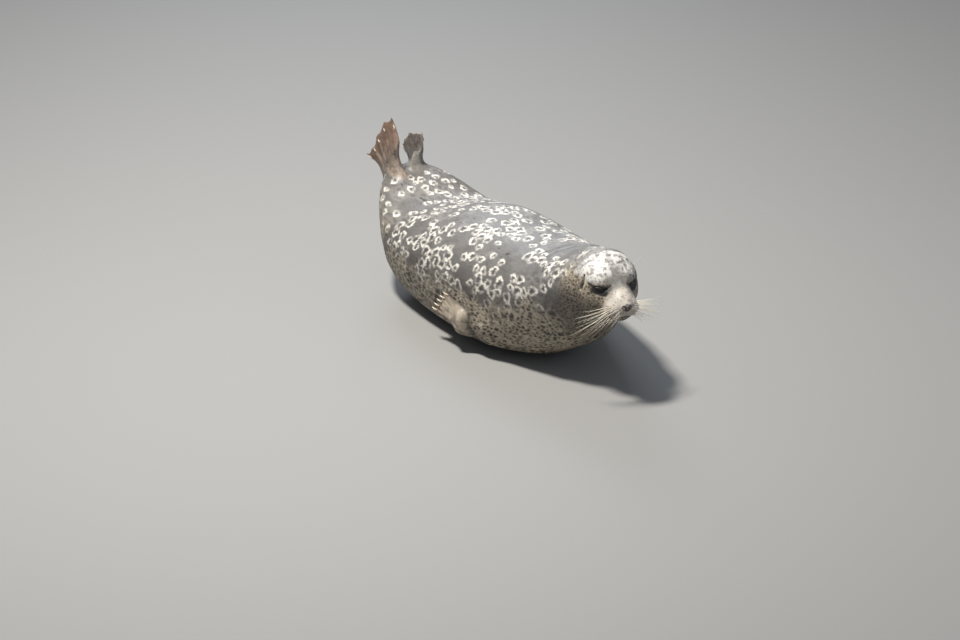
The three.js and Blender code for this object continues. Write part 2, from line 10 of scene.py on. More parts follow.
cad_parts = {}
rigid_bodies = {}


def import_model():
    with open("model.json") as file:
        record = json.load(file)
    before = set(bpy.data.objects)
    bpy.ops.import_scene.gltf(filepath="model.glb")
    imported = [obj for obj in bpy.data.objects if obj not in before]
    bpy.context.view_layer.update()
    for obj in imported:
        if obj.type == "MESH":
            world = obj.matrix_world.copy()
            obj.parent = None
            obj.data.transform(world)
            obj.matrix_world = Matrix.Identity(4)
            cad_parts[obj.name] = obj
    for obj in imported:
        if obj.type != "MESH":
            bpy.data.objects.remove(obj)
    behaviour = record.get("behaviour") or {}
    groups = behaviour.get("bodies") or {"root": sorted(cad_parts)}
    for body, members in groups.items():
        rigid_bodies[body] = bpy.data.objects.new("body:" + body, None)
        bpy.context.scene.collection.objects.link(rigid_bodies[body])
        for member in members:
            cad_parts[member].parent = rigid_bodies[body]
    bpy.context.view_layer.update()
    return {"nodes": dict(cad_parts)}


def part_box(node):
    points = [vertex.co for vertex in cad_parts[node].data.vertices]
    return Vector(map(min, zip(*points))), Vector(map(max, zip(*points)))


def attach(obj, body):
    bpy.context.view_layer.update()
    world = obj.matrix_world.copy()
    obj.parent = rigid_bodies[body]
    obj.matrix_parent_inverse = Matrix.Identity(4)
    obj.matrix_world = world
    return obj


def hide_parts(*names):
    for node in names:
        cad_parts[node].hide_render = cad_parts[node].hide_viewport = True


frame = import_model()
bpy.ops.object.select_all(action="DESELECT")

# ---------- room ----------
# A plain pale floor, one large soft lamp from the upper left, a weak one from the right, and a long lens
# that looks down on the seal's right side.
CAMERA_PLACE = (-6.355, -9.063, 5.116)
CAMERA_DOWN, CAMERA_TURN = 25, -35  # degrees below level, degrees from +Y
LENS = 150
camera_turn = (math.radians(90 - CAMERA_DOWN), 0, math.radians(CAMERA_TURN))
bpy.ops.object.camera_add(location=CAMERA_PLACE, rotation=camera_turn)
bpy.context.object.data.lens = LENS
bpy.context.object.data.clip_end = 200
bpy.context.scene.camera = bpy.context.object


def lamp(name, place, aim, size, watts, colour):
    turn = (Vector(aim) - Vector(place)).to_track_quat("-Z", "Y").to_euler()
    bpy.ops.object.light_add(type="AREA", location=place, rotation=turn)
    light = bpy.context.object
    light.name = name
    light.data.size = size
    light.data.energy = watts
    light.data.color = colour


lamp("lamp_key", (-1.3, 0.1, 4.4), (0, -0.1, 0.15), 0.55, 400, (1.0, 0.965, 0.91))
lamp("lamp_fill", (2.4, -3.2, 1.6), (0, -0.2, 0.2), 2.6, 26, (0.86, 0.92, 1.0))
lamp("lamp_back", (1.4, 3.0, 2.6), (0, 0.0, 0.2), 1.6, 60, (0.84, 0.91, 1.0))

world = bpy.data.worlds.new("studio")
world.use_nodes = True
world.node_tree.nodes["Background"].inputs["Color"].default_value = (0.82, 0.88, 1.0, 1)
world.node_tree.nodes["Background"].inputs["Strength"].default_value = 0.30
bpy.context.scene.world = world
bpy.context.scene.view_settings.view_transform = "Standard"

bpy.ops.mesh.primitive_plane_add(size=60, location=(0, 0, 0))
floor = bpy.context.object
floor.name = "floor"
floor_paint = bpy.data.materials.new("floor_paint")
floor_paint.use_nodes = True
floor_paint.node_tree.nodes["Principled BSDF"].inputs["Base Color"].default_value = (0.22, 0.217, 0.21, 1)
floor_paint.node_tree.nodes["Principled BSDF"].inputs["Roughness"].default_value = 0.75
floor.data.materials.append(floor_paint)

# ---------- skin ----------
# The hide, thick skin over blubber in one piece, with no seams between trunk, head, flippers and tail.
# Copies of the solids are swelled to overlap, joined, remeshed, smoothed, and drawn in by the coat's depth.
TRUNK_NODES = ["neck", "chest", "belly", "loin", "rump"]
HEAD_NODES = ["throat", "lower_jaw", "muzzle", "head"]
LIMB_NODES = ["fore_flipper_right", "fore_flipper_left", "hind_flipper_right", "hind_flipper_left", "tail"]
FILLERS = ["nose", "eye_right", "eye_left"]  # they only close the skin's openings here
COAT_DEPTH = 0.0024
SWELL, LIMB_SWELL = 0.0006, 0.0030
VOXEL = 0.0053
MERGE_GAP = 1e-5


def select_only(*pieces):
    bpy.ops.object.select_all(action="DESELECT")
    for piece in pieces:
        piece.select_set(True)
    bpy.context.view_layer.objects.active = pieces[0]


def mode(name):
    bpy.ops.object.mode_set(mode=name)


def new_object(name, mesh):
    piece = bpy.data.objects.new(name, mesh)
    bpy.context.scene.collection.objects.link(piece)
    select_only(piece)
    return piece


def merged_copy(node):
    piece = new_object("copy_" + node, frame["nodes"][node].data.copy())
    mode("EDIT")
    bpy.ops.mesh.select_all(action="SELECT")
    bpy.ops.mesh.remove_doubles(threshold=MERGE_GAP)
    mode("OBJECT")
    return piece


def apply_modifier(piece, kind, **settings):
    select_only(piece)
    modifier = piece.modifiers.new(kind.lower(), kind)
    for key, value in settings.items():
        setattr(modifier, key, value)
    bpy.ops.object.modifier_apply(modifier=modifier.name)


def read_rows(rows, field, columns, kind=np.float32):
    values = np.empty(len(rows) * columns, kind)
    rows.foreach_get(field, values)
    return values.reshape(-1, columns)


def points_of(mesh):
    return read_rows(mesh.vertices, "co", 3).astype(float)


def normals_of(mesh):
    return read_rows(mesh.vertex_normals, "vector", 3).astype(float)


def place_points(mesh, co):
    mesh.vertices.foreach_set("co", co.astype(np.float32).ravel())
    mesh.update()


def edges_of(mesh):
    return read_rows(mesh.edges, "vertices", 2, np.int32)


def ramp(low, high, value):
    """A soft ramp from 0 at low to 1 at high."""
    t = np.clip((value - low) / (high - low), 0, 1)
    return t * t * (3 - 2 * t)


def relax(values, pairs, weight, rounds):
    """Draws each point's value towards the mean of its neighbours' values."""
    values = np.array(values, float)
    count = np.bincount(pairs.ravel(), minlength=len(values)).clip(1)
    for _ in range(rounds):
        for axis in range(values.shape[1]):
            column = values[:, axis]
            total = np.bincount(pairs[:, 0], column[pairs[:, 1]], len(values))
            total += np.bincount(pairs[:, 1], column[pairs[:, 0]], len(values))
            values[:, axis] = column + (total / count - column) * weight * 0.6
    return values


def lengths(vectors):
    return np.linalg.norm(vectors, axis=1)


def unit(vectors):
    return vectors / np.linalg.norm(vectors, axis=-1, keepdims=True).clip(1e-9)


copies = []
for node in TRUNK_NODES + HEAD_NODES + LIMB_NODES + FILLERS:
    piece = merged_copy(node)
    swell = LIMB_SWELL if "flipper" in node else SWELL
    place_points(piece.data, points_of(piece.data) + normals_of(piece.data) * swell)
    copies.append(piece)
skin = copies[0]
select_only(*copies)
bpy.ops.object.join()
skin.name = skin.data.name = "skin"
apply_modifier(skin, "REMESH", mode="VOXEL", voxel_size=VOXEL, use_smooth_shade=True)

# Pockets that the remesh leaves inside are dropped: only what hangs together with the highest point stays.
top = int(points_of(skin.data)[:, 2].argmax())
mode("EDIT")
bpy.context.tool_settings.mesh_select_mode = (True, False, False)
bpy.ops.mesh.select_all(action="DESELECT")
mode("OBJECT")
skin.data.vertices[top].select = True
mode("EDIT")
bpy.ops.mesh.select_linked()
bpy.ops.mesh.select_all(action="INVERT")
bpy.ops.mesh.delete(type="VERT")
mode("OBJECT")

# How near each point of the skin is to the trunk, the head and each limb.
NEAR_FADE = 0.006
GROUPS = {"trunk": TRUNK_NODES, "head": HEAD_NODES + ["nose"], **{node: [node] for node in LIMB_NODES}}


def tree_of(nodes):
    corners, faces = [], []
    for node in nodes:
        mesh = frame["nodes"][node].data
        start = len(corners)
        corners += [v.co for v in mesh.vertices]
        faces += [tuple(start + i for i in f.vertices) for f in mesh.polygons]
    return BVHTree.FromPolygons(corners, faces)


trees = {group: tree_of(nodes) for group, nodes in GROUPS.items()}


def nearness(co):
    """For each group, how much of each point belongs to it: 1 on it, 0 a little way off."""
    away = np.array([[trees[group].find_nearest(p)[3] for p in co.tolist()] for group in GROUPS])
    share = np.exp(-((away - away.min(0)) / NEAR_FADE))
    return dict(zip(GROUPS, share / share.sum(0)))


# The trunk is smoothed most. What smoothing draws in is itself smoothed and added back, which keeps the size.
HEAD_SMOOTHING, LIMB_SMOOTHING, SMOOTH_ROUNDS = 0.35, 0.16, 46
co = points_of(skin.data)
pairs = edges_of(skin.data)
near = nearness(co)
limb = sum(near[node] for node in LIMB_NODES)
weight = np.clip(near["trunk"] + HEAD_SMOOTHING * near["head"] + LIMB_SMOOTHING * limb, 0, 1)
weight = relax(weight[:, None], pairs, 1, 12)[:, 0]
flat = relax(co, pairs, weight, SMOOTH_ROUNDS)
place_points(skin.data, flat + relax(co - flat, pairs, weight, SMOOTH_ROUNDS))

# Remeshing and smoothing wear thin edges away, so the flippers are brought back to their solids: points
# outside drop onto them, and points inside are drawn out along their normals.
LONGEST_DRAW = 0.014
co = points_of(skin.data)
outward = normals_of(skin.data)
move = np.zeros_like(co)
for node in LIMB_NODES[:-1]:
    for i in np.nonzero(near[node] > 0.5)[0]:
        spot, normal, _, _ = trees[node].find_nearest(Vector(co[i]))
        share = ramp(0.5, 0.9, near[node][i])
        if (Vector(co[i]) - spot).dot(normal) > 0:
            move[i] = (np.array(spot) - co[i]) * share
            continue
        hit, _, _, far = trees[node].ray_cast(Vector(co[i]), Vector(outward[i]), LONGEST_DRAW)
        if hit is not None:
            move[i] = outward[i] * far * share
co = relax(co + relax(move, pairs, 1, 3), pairs, 0.6 * limb, 7)

# The tail's tip is rounded off across its width.
TAIL_RISE, TAIL_TIP, TAIL_ROUND = math.radians(84), 0.032, 0.93
tail_way = np.array((0, math.cos(TAIL_RISE), math.sin(TAIL_RISE)))
on_tail = near["tail"] > 0.5
along = co @ tail_way
middle_x = (co[on_tail, 0].min() + co[on_tail, 0].max()) / 2
aside = np.clip(abs(co[:, 0] - middle_x) / abs(co[on_tail, 0] - middle_x).max(), 0, 1)
reach = np.clip((along - along[on_tail].max()) / TAIL_TIP + 1, 0, 1)
cut_back = TAIL_TIP * reach * (1 - np.sqrt(1 - (TAIL_ROUND * aside) ** 2)) * near["tail"]
co = relax(co - cut_back[:, None] * tail_way, pairs, near["tail"], 3)
place_points(skin.data, co)

# The head's own axes, from the places of the two eyes and the dip of the nose. Points in them are (left,
# ahead, above) in metres from the middle of the skull.
SIDES = {"right": -1, "left": 1}
HEAD_DIP = math.radians(12)
EYE_AT = (0.042, 0.048, 0.012)


def middle_of(node):
    low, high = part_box(node)
    return np.array((low + high) / 2)


eye_middle = {side: middle_of("eye_" + side) for side in SIDES}
head_left = unit(eye_middle["left"] - eye_middle["right"])
head_level = np.cross(head_left, (0, 0, 1))
head_ahead = head_level * math.cos(HEAD_DIP) - np.array((0, 0, 1)) * math.sin(HEAD_DIP)
head_above = np.cross(head_ahead, head_left)
head_axes = np.stack([head_left, head_ahead, head_above])
skull = (eye_middle["left"] + eye_middle["right"]) / 2 - head_ahead * EYE_AT[1] - head_above * EYE_AT[2]


def in_head(points):
    return (points - skull) @ head_axes.T


def from_head(places):
    return np.asarray(places) @ head_axes + skull


def refine(piece, chosen):
    """Halves the edges of the faces whose middles are chosen, then eases the steps between them."""
    mesh = piece.data
    picked = chosen(read_rows(mesh.polygons, "center", 3).astype(float))
    bpy.context.tool_settings.mesh_select_mode = (False, False, True)
    mode("EDIT")
    bpy.ops.mesh.select_all(action="DESELECT")
    mode("OBJECT")
    mesh.polygons.foreach_set("select", picked)
    mode("EDIT")
    bpy.ops.mesh.subdivide(number_cuts=1)
    mode("OBJECT")
    points = points_of(mesh)
    place_points(mesh, relax(points, edges_of(mesh), chosen(points).astype(float), 5))


def face_zone(points):
    return in_head(points)[:, 1] > 0.0


def fine_zone(points):
    place = in_head(points)
    nose = (place[:, 1] > 0.112) & (abs(place[:, 0]) < 0.034) & (place[:, 2] > -0.064)
    eyes = np.zeros(len(points), bool)
    for side, sign in SIDES.items():
        eyes |= lengths(place - (sign * 0.056, 0.068, 0.008)) < 0.031
    return nose | eyes


refine(skin, face_zone)
refine(skin, fine_zone)

# The hide lies inside the solids by the coat's depth, and by less where the fur is short.
co = points_of(skin.data)
pairs = edges_of(skin.data)
place = in_head(co)
near = nearness(co)
limb = sum(near[node] for node in LIMB_NODES)
muzzle = ramp(0.05, 0.12, place[:, 1])
depth = COAT_DEPTH * (1 - 0.6 * muzzle) * (1 - 0.5 * limb)
co = co - normals_of(skin.data) * depth[:, None]


def trench(away, width):
    """1 at the bottom of a groove and 0 at its sides, by the distance from its line."""
    return np.exp(-((away / width) ** 2))


def line_distance(points, line):
    """How far each point is from a line of straight stretches, in as many dimensions as the line has."""
    best = np.full(len(points), 1e9)
    for a, b in zip(np.asarray(line[:-1], float), np.asarray(line[1:], float)):
        along = np.clip((points - a) @ (b - a) / ((b - a) @ (b - a)), 0, 1)
        best = np.minimum(best, lengths(points - a - along[:, None] * (b - a)))
    return best


def groove(points, line, width):
    return trench(line_distance(points, line), width)


# Eyelids: each eye's own frame has x to its outer corner, y up and z along its gaze. The lids hug the
# eyeball round a drowsy slit, with a fold above, a bag below and a tear groove at the inner corner.
EYE_RADIUS = 0.021
LID = 0.0021
GAZE_OUT, GAZE_UP, LID_CANT = math.radians(36), math.radians(14), math.tan(math.radians(7))
SLIT_HALF, UPPER_SAG, LOWER_SAG = 0.0195, 0.0004, 0.0104
eye_frames = {}
for side, sign in SIDES.items():
    gaze = (sign * math.sin(GAZE_OUT), math.cos(GAZE_OUT), math.tan(GAZE_UP))
    gaze = unit(np.array(gaze) @ head_axes)
    outer = unit(np.cross(head_above, gaze)) * sign
    eye_frames[side] = np.stack([outer, np.cross(gaze, outer) * sign, gaze])


def in_eye(points, side):
    return (points - eye_middle[side]) @ eye_frames[side].T


def slit_edges(x):
    bow = 1 - (x / SLIT_HALF) ** 2
    return -UPPER_SAG * bow - LID_CANT * x, -LOWER_SAG * bow - LID_CANT * x


for side in SIDES:
    local = in_eye(co, side)
    x, y = local[:, 0], local[:, 1]
    far = lengths(local)
    upper, lower = slit_edges(x)
    outside = np.maximum(y - upper, lower - y)
    around = (local[:, 2] > 0) & (far < 0.045)
    # Points beside the slit's edge are drawn onto it, so that the edge is a clean line.
    edge = around & (abs(outside) < 0.0008) & (abs(x) < SLIT_HALF + 0.001)
    upward = np.where(y - upper > lower - y, 1.0, -1.0)
    local[edge, 1] -= (outside * upward - upward * 0.0001)[edge]
    outside = np.where(edge, 0.0001, outside)
    lid = 1 - ramp(0.003, 0.012, outside)
    fold_above = 0.7 * trench(y - upper - 0.0062, 0.0018) * (abs(x) < 0.018)
    bag_below = trench(lower - y - 0.0052, 0.0022) * (abs(x) < 0.016)
    tear = groove(local[:, :2], [(-SLIT_HALF, 0.002), (-SLIT_HALF - 0.008, -0.001)], 0.0022)
    reach = EYE_RADIUS + LID + 0.0012 * trench(outside - 0.003, 0.003)
    reach = far * (1 - lid) + reach * lid - 0.0013 * fold_above - 0.0009 * bag_below - 0.002 * tear
    reach = np.where(outside < 0, EYE_RADIUS - 0.0016, reach)
    local[around] = (unit(local) * reach[:, None])[around]
    co[around] = (local @ eye_frames[side] + eye_middle[side])[around]

place_points(skin.data, co)

# Nostrils, the groove of the upper lip, the mouth, the ear slits and the folds of the drawn-in neck are
# pressed in along the hide's normals. Lines are (left, above) seen from ahead, or (left, ahead, above), on
# the right side.
NOSTRIL = [(0.0146, -0.0118), (0.0130, -0.0066), (0.0094, -0.0044), (0.0060, -0.0072), (0.0046, -0.0130),
           (0.0022, -0.0182)]
LIP_GROOVE = [(0, -0.020), (0, -0.046)]
EAR = [(0.083, 0.008, 0.034), (0.087, 0.018, 0.014), (0.091, 0.020, -0.004)]
MOUTH_HEIGHT, MOUTH_BACK = -0.0475, 0.046

place = in_head(co)
for side, sign in SIDES.items():
    aside = place * (sign, 1, 1)
    ahead = ramp(0.112, 0.126, place[:, 1])
    wing = trench(line_distance(aside[:, [0, 2]], NOSTRIL[:4]) - 0.0042, 0.0024) * ahead
    ear = groove(aside, EAR, 0.0034)
    ear_rim = groove(aside, [(a, b - 0.008, c) for a, b, c in EAR], 0.0055)
    co -= normals_of(skin.data) * (-0.0008 * wing + 0.0075 * ear - 0.0030 * ear_rim)[:, None]
ahead = ramp(0.105, 0.125, place[:, 1])
lip_groove = groove(place[:, [0, 2]], LIP_GROOVE, 0.0017) * ahead
corner = ramp(MOUTH_BACK - 0.004, MOUTH_BACK + 0.012, place[:, 1])
mouth_height = MOUTH_HEIGHT + 0.004 * trench(place[:, 0], 0.010) + 0.007 * ramp(0.10, 0.045, place[:, 1])
mouth = trench(place[:, 2] - mouth_height, 0.0021) * corner
lips = trench(place[:, 2] - mouth_height - 0.006, 0.004) * corner
co -= normals_of(skin.data) * (0.0022 * lip_groove + 0.0042 * mouth - 0.0009 * lips)[:, None]
place_points(skin.data, co)

# Folds behind the skull and round the neck: each is (ahead at the crown, how far it leans back per metre
# down, depth, width), and fades towards the throat.
FOLDS = [(-0.030, -0.25, 0.0042, 0.0052), (-0.062, 0.05, 0.0024, 0.008), (-0.150, 0.42, 0.0050, 0.0058),
         (-0.205, 0.52, 0.0026, 0.0080)]


def fold_offset(place, crown, lean):
    """How far ahead of a fold each place in the head's axes is."""
    wander = 0.006 * np.sin(place[:, 0] * 34 + crown * 90) + 0.003 * np.sin(place[:, 0] * 90 + crown * 50)
    return place[:, 1] - crown + lean * (0.075 - place[:, 2]) - wander


place = in_head(co)
drop = 0.075 - place[:, 2]
for crown, lean, deep, width in FOLDS:
    off = fold_offset(place, crown, lean)
    fade = (1 - ramp(0.05, 0.14, drop)) * (1 - 0.75 * trench(place[:, 0], 0.02))
    swell_behind = trench(off + width * 2.2, width * 1.8)
    co -= normals_of(skin.data) * (fade * (deep * trench(off, width) - 0.35 * deep * swell_behind))[:, None]
place_points(skin.data, co)

# Flipper digits: a ridge from the heel or wrist to each claw, with the web drawn in between.
DIGITS = range(1, 6)
RIDGE = {"hind": 0.0018, "fore": 0.0052}
RIDGE_START = {"hind": 0.30, "fore": 0.25}
RIDGE_WIDTH = 0.0065


def claw_middles(flipper):
    return np.array([middle_of(flipper.replace("flipper", "claw") + f"_{k}") for k in DIGITS])


for limb_name, root_share in RIDGE_START.items():
    for side in SIDES:
        node = f"{limb_name}_flipper_{side}"
        low, high = (np.array(c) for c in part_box(node))
        tips = claw_middles(node)
        if limb_name == "hind":
            root = np.array([(low[0] + high[0]) / 2, middle_of(node)[1] - 0.10, low[2] + 0.03])
        else:
            root = np.array([middle_of(node)[0], low[1], low[2] + 0.03])
        mine = near[node] > 0.4
        spot = co[mine]
        starts = [root * (1 - root_share) + tip * root_share for tip in tips]
        nearest = np.min([line_distance(spot, line) for line in zip(starts, tips)], axis=0)
        spread = np.clip(lengths(spot - root) / lengths(tips - root).mean(), 0, 1)
        ridge = (trench(nearest, RIDGE_WIDTH) - 0.5) * RIDGE[limb_name] * ramp(0.30, 0.75, spread)
        ridge += 0.0005 * np.sin(nearest * 2200) * ramp(0.6, 0.95, spread)
        co[mine] += normals_of(skin.data)[mine] * ridge[:, None]

# The underside rests on the floor.
FLOOR_GAP = 0.0002
under = ramp(0.016, 0.0, co[:, 2])
co[:, 2] = np.maximum(co[:, 2] - under * 0.0022, FLOOR_GAP)
place_points(skin.data, co)

# The lie of the coat: from nose to tail on the body and a little down on the flanks, away from the nose on
# the face, and from root to claws on the flippers.
FLIPPERS = [node for node in LIMB_NODES if node != "tail"]
flipper_root, flipper_tip = {}, {}
for node in FLIPPERS:
    low, high = (np.array(c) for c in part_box(node))
    before, over = (0.03, 0) if node.startswith("hind") else (0.05, 0.05)
    flipper_tip[node] = claw_middles(node).mean(0)
    flipper_root[node] = np.array([(low[0] + high[0]) / 2, low[1] - before, low[2] + over])
nose_tip = from_head([(0, 0.135, -0.005)])[0]


def lie_of_coat(points, normals, share):
    flow = np.zeros_like(points)
    flow[:, 1] = share["trunk"]
    flow[:, 2] = -0.4 * abs(normals[:, 0]) * share["trunk"]
    flow += share["head"][:, None] * unit(points - nose_tip)
    flow += share["tail"][:, None] * unit(np.array((0, 0.6, 1.0)))
    for node in FLIPPERS:
        flow += share[node][:, None] * unit(points - flipper_root[node])
    return unit(flow - normals * np.sum(flow * normals, axis=1, keepdims=True))


co = points_of(skin.data)
skin_normals = normals_of(skin.data)
near = nearness(co)
near_names = list(GROUPS)
near_table = relax(np.stack([near[name] for name in near_names], axis=1), edges_of(skin.data), 1, 6)
near = dict(zip(near_names, near_table.T))
skin_flow = relax(lie_of_coat(co, skin_normals, near), edges_of(skin.data), 1, 10)

# Whisker follicles stand in rows on the lip pads. Hairs over each eye are (left, ahead, above, length).
FOLLICLE_ROWS, FOLLICLE_COLUMNS = 6, 7
BROW_HAIRS = [(0.034, 0.056, 0.056, 0.052), (0.039, 0.052, 0.060, 0.060), (0.044, 0.050, 0.055, 0.048),
              (0.037, 0.060, 0.050, 0.036)]
skin.data.calc_loop_triangles()
triangles = read_rows(skin.data.loop_triangles, "vertices", 3, np.int32)
hide_tree = BVHTree.FromPolygons(points_of(skin.data).tolist(), triangles.tolist())


def nearest_on_hide(spot):
    return np.array(hide_tree.find_nearest(Vector(spot))[0])


follicles = {side: [] for side in SIDES}
for side, sign in SIDES.items():
    for row in range(FOLLICLE_ROWS):
        for column in range(row % 2, FOLLICLE_COLUMNS):
            aside = 0.0135 + 0.0052 * column + 0.0010 * row
            above = -0.0130 - 0.0055 * row - 0.0012 * column
            spot = from_head([(sign * aside, 0.136 - 0.0052 * column, above)])[0]
            follicles[side].append((nearest_on_hide(spot), row, column))
follicle_spots = np.array([root for side in SIDES for root, _, _ in follicles[side]])


def rgb(*shares):
    return np.array(shares)


# Markings, the same on hide and coat: a grey back with broken pale rings round dark middles, in chains and
# clusters, a creamy net with dark spots low on the flanks, a pale freckled cap and a pale muzzle.
BACK, BACK_BROWN = rgb(0.142, 0.137, 0.132), rgb(0.085, 0.071, 0.056)
RING = rgb(0.74, 0.705, 0.635)
NET, NET_SPOT = rgb(0.54, 0.47, 0.36), rgb(0.046, 0.036, 0.027)
CAP, MUZZLE_PALE = rgb(0.56, 0.545, 0.515), rgb(0.50, 0.455, 0.395)
FACE_GREY, CHEEK = rgb(0.20, 0.19, 0.175), rgb(0.105, 0.083, 0.062)
DARK = rgb(0.016, 0.014, 0.013)
FLIPPER_COLOURS = dict.fromkeys(FLIPPERS, rgb(0.40, 0.335, 0.265)) | {
    "hind_flipper_right": rgb(0.34, 0.275, 0.22),
    "hind_flipper_left": rgb(0.25, 0.235, 0.215),
}
WEB_COLOUR = rgb(0.20, 0.105, 0.070)
WEB_SHARE = dict.fromkeys(FLIPPERS, 0.15) | {"hind_flipper_right": 0.5, "hind_flipper_left": 0.12}
RING_SEED, RING_GAP, RING_REACH = 7, 0.0255, 0.024


def ear_distance(place):
    """How far each place on the side of the head is from the ear slit, seen from that side."""
    return line_distance(place[:, 1:], np.array(EAR)[:, 1:]) + (abs(place[:, 0]) < 0.055)


def cell_value(cell, salt):
    """A steady number from 0 to 1 for each whole-numbered cell."""
    mixed = (cell[..., 0] * 73856093) ^ (cell[..., 1] * 19349663) ^ (cell[..., 2] * 83492791)
    mixed = mixed ^ (salt * 2654435761)
    mixed = ((mixed ^ (mixed >> 13)) * 1274126177) & 0x7FFFFFFF
    return ((mixed ^ (mixed >> 16)) & 0xFFFFF) / 0xFFFFF


def hills(points, size, salt=0):
    """Soft random hills and hollows of the given size, from 0 to 1."""
    grid = points / size
    base = np.floor(grid).astype(np.int64)
    t = grid - base
    t = t * t * (3 - 2 * t)
    total = np.zeros(len(points))
    for corner in np.ndindex(2, 2, 2):
        total += np.prod(np.where(corner, t, 1 - t), axis=1) * cell_value(base + corner, salt)
    return total


def crackle(points, size, salt=0):
    """0 on the borders between scattered spots of the given size, rising towards their middles."""
    grid = points / size
    base = np.floor(grid).astype(np.int64)
    first = np.full(len(points), 9.0)
    second = first.copy()
    for step in np.ndindex(3, 3, 3):
        cell = base + step - 1
        spot = cell + np.stack([cell_value(cell, salt + k) for k in (1, 2, 3)], axis=1)
        away = lengths(grid - spot)
        second = np.minimum(second, np.maximum(first, away))
        first = np.minimum(first, away)
    return second - first


def mix(under_colour, over_colour, share):
    return under_colour + (over_colour - under_colour) * np.asarray(share).clip(0, 1)[..., None]


trunk_points = co[near["trunk"] > 0.6]
TOP_STEPS = np.arange(-0.62, 0.46, 0.02)
top_heights = [trunk_points[abs(trunk_points[:, 1] - y) < 0.02][:, 2].max(initial=0.05) for y in TOP_STEPS]


def flank_height(points):
    """0 at the floor and 1 at the ridge of the back."""
    return points[:, 2] / np.interp(points[:, 1], TOP_STEPS, top_heights)


draw = np.random.default_rng(RING_SEED)
spots = trunk_points[draw.permutation(len(trunk_points))[:9000]]
height = flank_height(spots)
cluster = 0.72 * hills(spots, 0.046, 11) + 0.28 * hills(spots, 0.15, 13)
wanted = ramp(0.30, 0.46, height + 0.06 * (cluster - 0.5)) * (height < 1.01)
wanted *= 1 - 0.75 * ramp(0.955, 0.985, height)
wanted *= 1 - 0.6 * ramp(0.36, 0.43, spots[:, 1])
keen = ramp(0.49, 0.56, cluster + 0.10 * ramp(0.95, 0.6, height) - 0.02)
spots = spots[draw.random(len(spots)) < wanted * (0.05 + keen)]
ring_middles = []
for spot in spots:
    if all(np.linalg.norm(spot - other) > RING_GAP for other in ring_middles[-900:]):
        ring_middles.append(spot)
ring_middles = np.array(ring_middles)
ring_sizes = 0.0080 + 0.0068 * draw.random(len(ring_middles))
ring_sizes *= 1 - 0.32 * ramp(0.05, 0.36, ring_middles[:, 1])
ring_phases = draw.uniform(0, 2 * math.pi, (len(ring_middles), 4))


def ring_marks(points, normals, flow):
    """How much of each point lies on a pale ring, and how much in a dark middle."""
    order = np.argsort(points[:, 1], kind="stable")
    ys = points[order, 1]
    pale, dark = np.zeros(len(points)), np.zeros(len(points))
    for middle, size, phase in zip(ring_middles, ring_sizes, ring_phases):
        start, stop = np.searchsorted(ys, (middle[1] - RING_REACH, middle[1] + RING_REACH))
        some = order[start:stop]
        gap = points[some] - middle
        away = lengths(gap)
        some, gap, away = (values[away < RING_REACH] for values in (some, gap, away))
        aside = np.cross(flow[some], normals[some])
        angle = np.arctan2(np.sum(gap * aside, axis=1), np.sum(gap * flow[some], axis=1))
        ragged = 0.16 * np.sin(2 * angle + phase[0]) + 0.13 * np.sin(3 * angle + phase[1])
        ragged += 0.09 * np.sin(5 * angle + phase[2])
        broad = 0.0039 + 0.0014 * np.sin(2 * angle + phase[3]) + 0.0009 * np.sin(7 * angle + phase[1])
        line = (away - size * (1 + ragged)) / broad
        whole = 0.72 + 0.42 * np.sin(angle + phase[2]) + 0.22 * np.sin(4 * angle + phase[0])
        mark = (1 - ramp(0.5, 1.25, abs(line))) * np.clip(whole, 0.1, 1)
        np.maximum.at(pale, some, mark)
        np.maximum.at(dark, some, 1 - ramp(0.25, 0.62, away / size))
    return pale, dark


def trunk_marks(points, normals, flow, streak, fine):
    """Grey back with rings, browner and darker below and behind, partly painted shade low on the flanks, over
    a net of dark spots on the low flanks.
    """
    height = flank_height(points)
    across = points * (1, 0.62, 1)
    # Browner and darker towards the floor and the rear: brown fur, with painted shade low on the flanks.
    brown_and_low_shade = ramp(0.88, 0.35, height) * 0.80 + 0.35 * (hills(points, 0.060, 23) - 0.5)
    brown_and_low_shade += 0.35 * ramp(-0.05, 0.35, points[:, 1])
    colour = mix(BACK, BACK_BROWN, brown_and_low_shade)
    colour = colour * (1 + 0.30 * (hills(points, 0.022, 24) - 0.5) + 0.22 * streak + 0.16 * fine)[:, None]
    flecks = ramp(0.30, 0.14, crackle(across, 0.019, 31)) * ramp(0.60, 0.72, hills(points, 0.05, 32))
    colour = mix(colour, RING * 0.7, flecks * 0.16 * ramp(0.3, 0.5, height))
    pale, dark = ring_marks(points, normals, flow)
    colour = mix(colour, BACK * 0.42, dark * 0.75)
    colour = mix(colour, mix(RING, NET, ramp(0.62, 0.32, height)), pale)
    lift = 0.30 * ramp(0.08, 0.40, points[:, 1]) + 0.10 * ramp(-0.30, -0.46, points[:, 1])
    edge = 0.20 * (hills(points, 0.080, 28) - 0.5) + 0.16 * (hills(points, 0.026, 25) - 0.5)
    net_zone = 1 - ramp(0.34, 0.62, height - lift + edge)
    net_large = ramp(0.06, 0.30, crackle(across + 0.004 * fine[:, None], 0.0165, 41))
    net_small = ramp(0.10, 0.36, crackle(across + 0.004 * fine[:, None], 0.0105, 45))
    net = net_large + (net_small - net_large) * ramp(0.35, 0.62, hills(points, 0.045, 46))
    net = net * (0.80 + 0.35 * hills(points, 0.018, 47))
    net_colour = mix(NET, NET_SPOT, net)
    net_colour = net_colour * (0.86 + 0.5 * streak + 0.3 * fine)[:, None].clip(0.4, 1.3)
    colour = mix(colour, net_colour, net_zone)
    black = ramp(0.80, 0.86, hills(points, 0.0085, 26)) * ramp(0.55, 0.7, hills(points, 0.07, 27))
    return mix(colour, DARK * 1.6, black * 0.85)


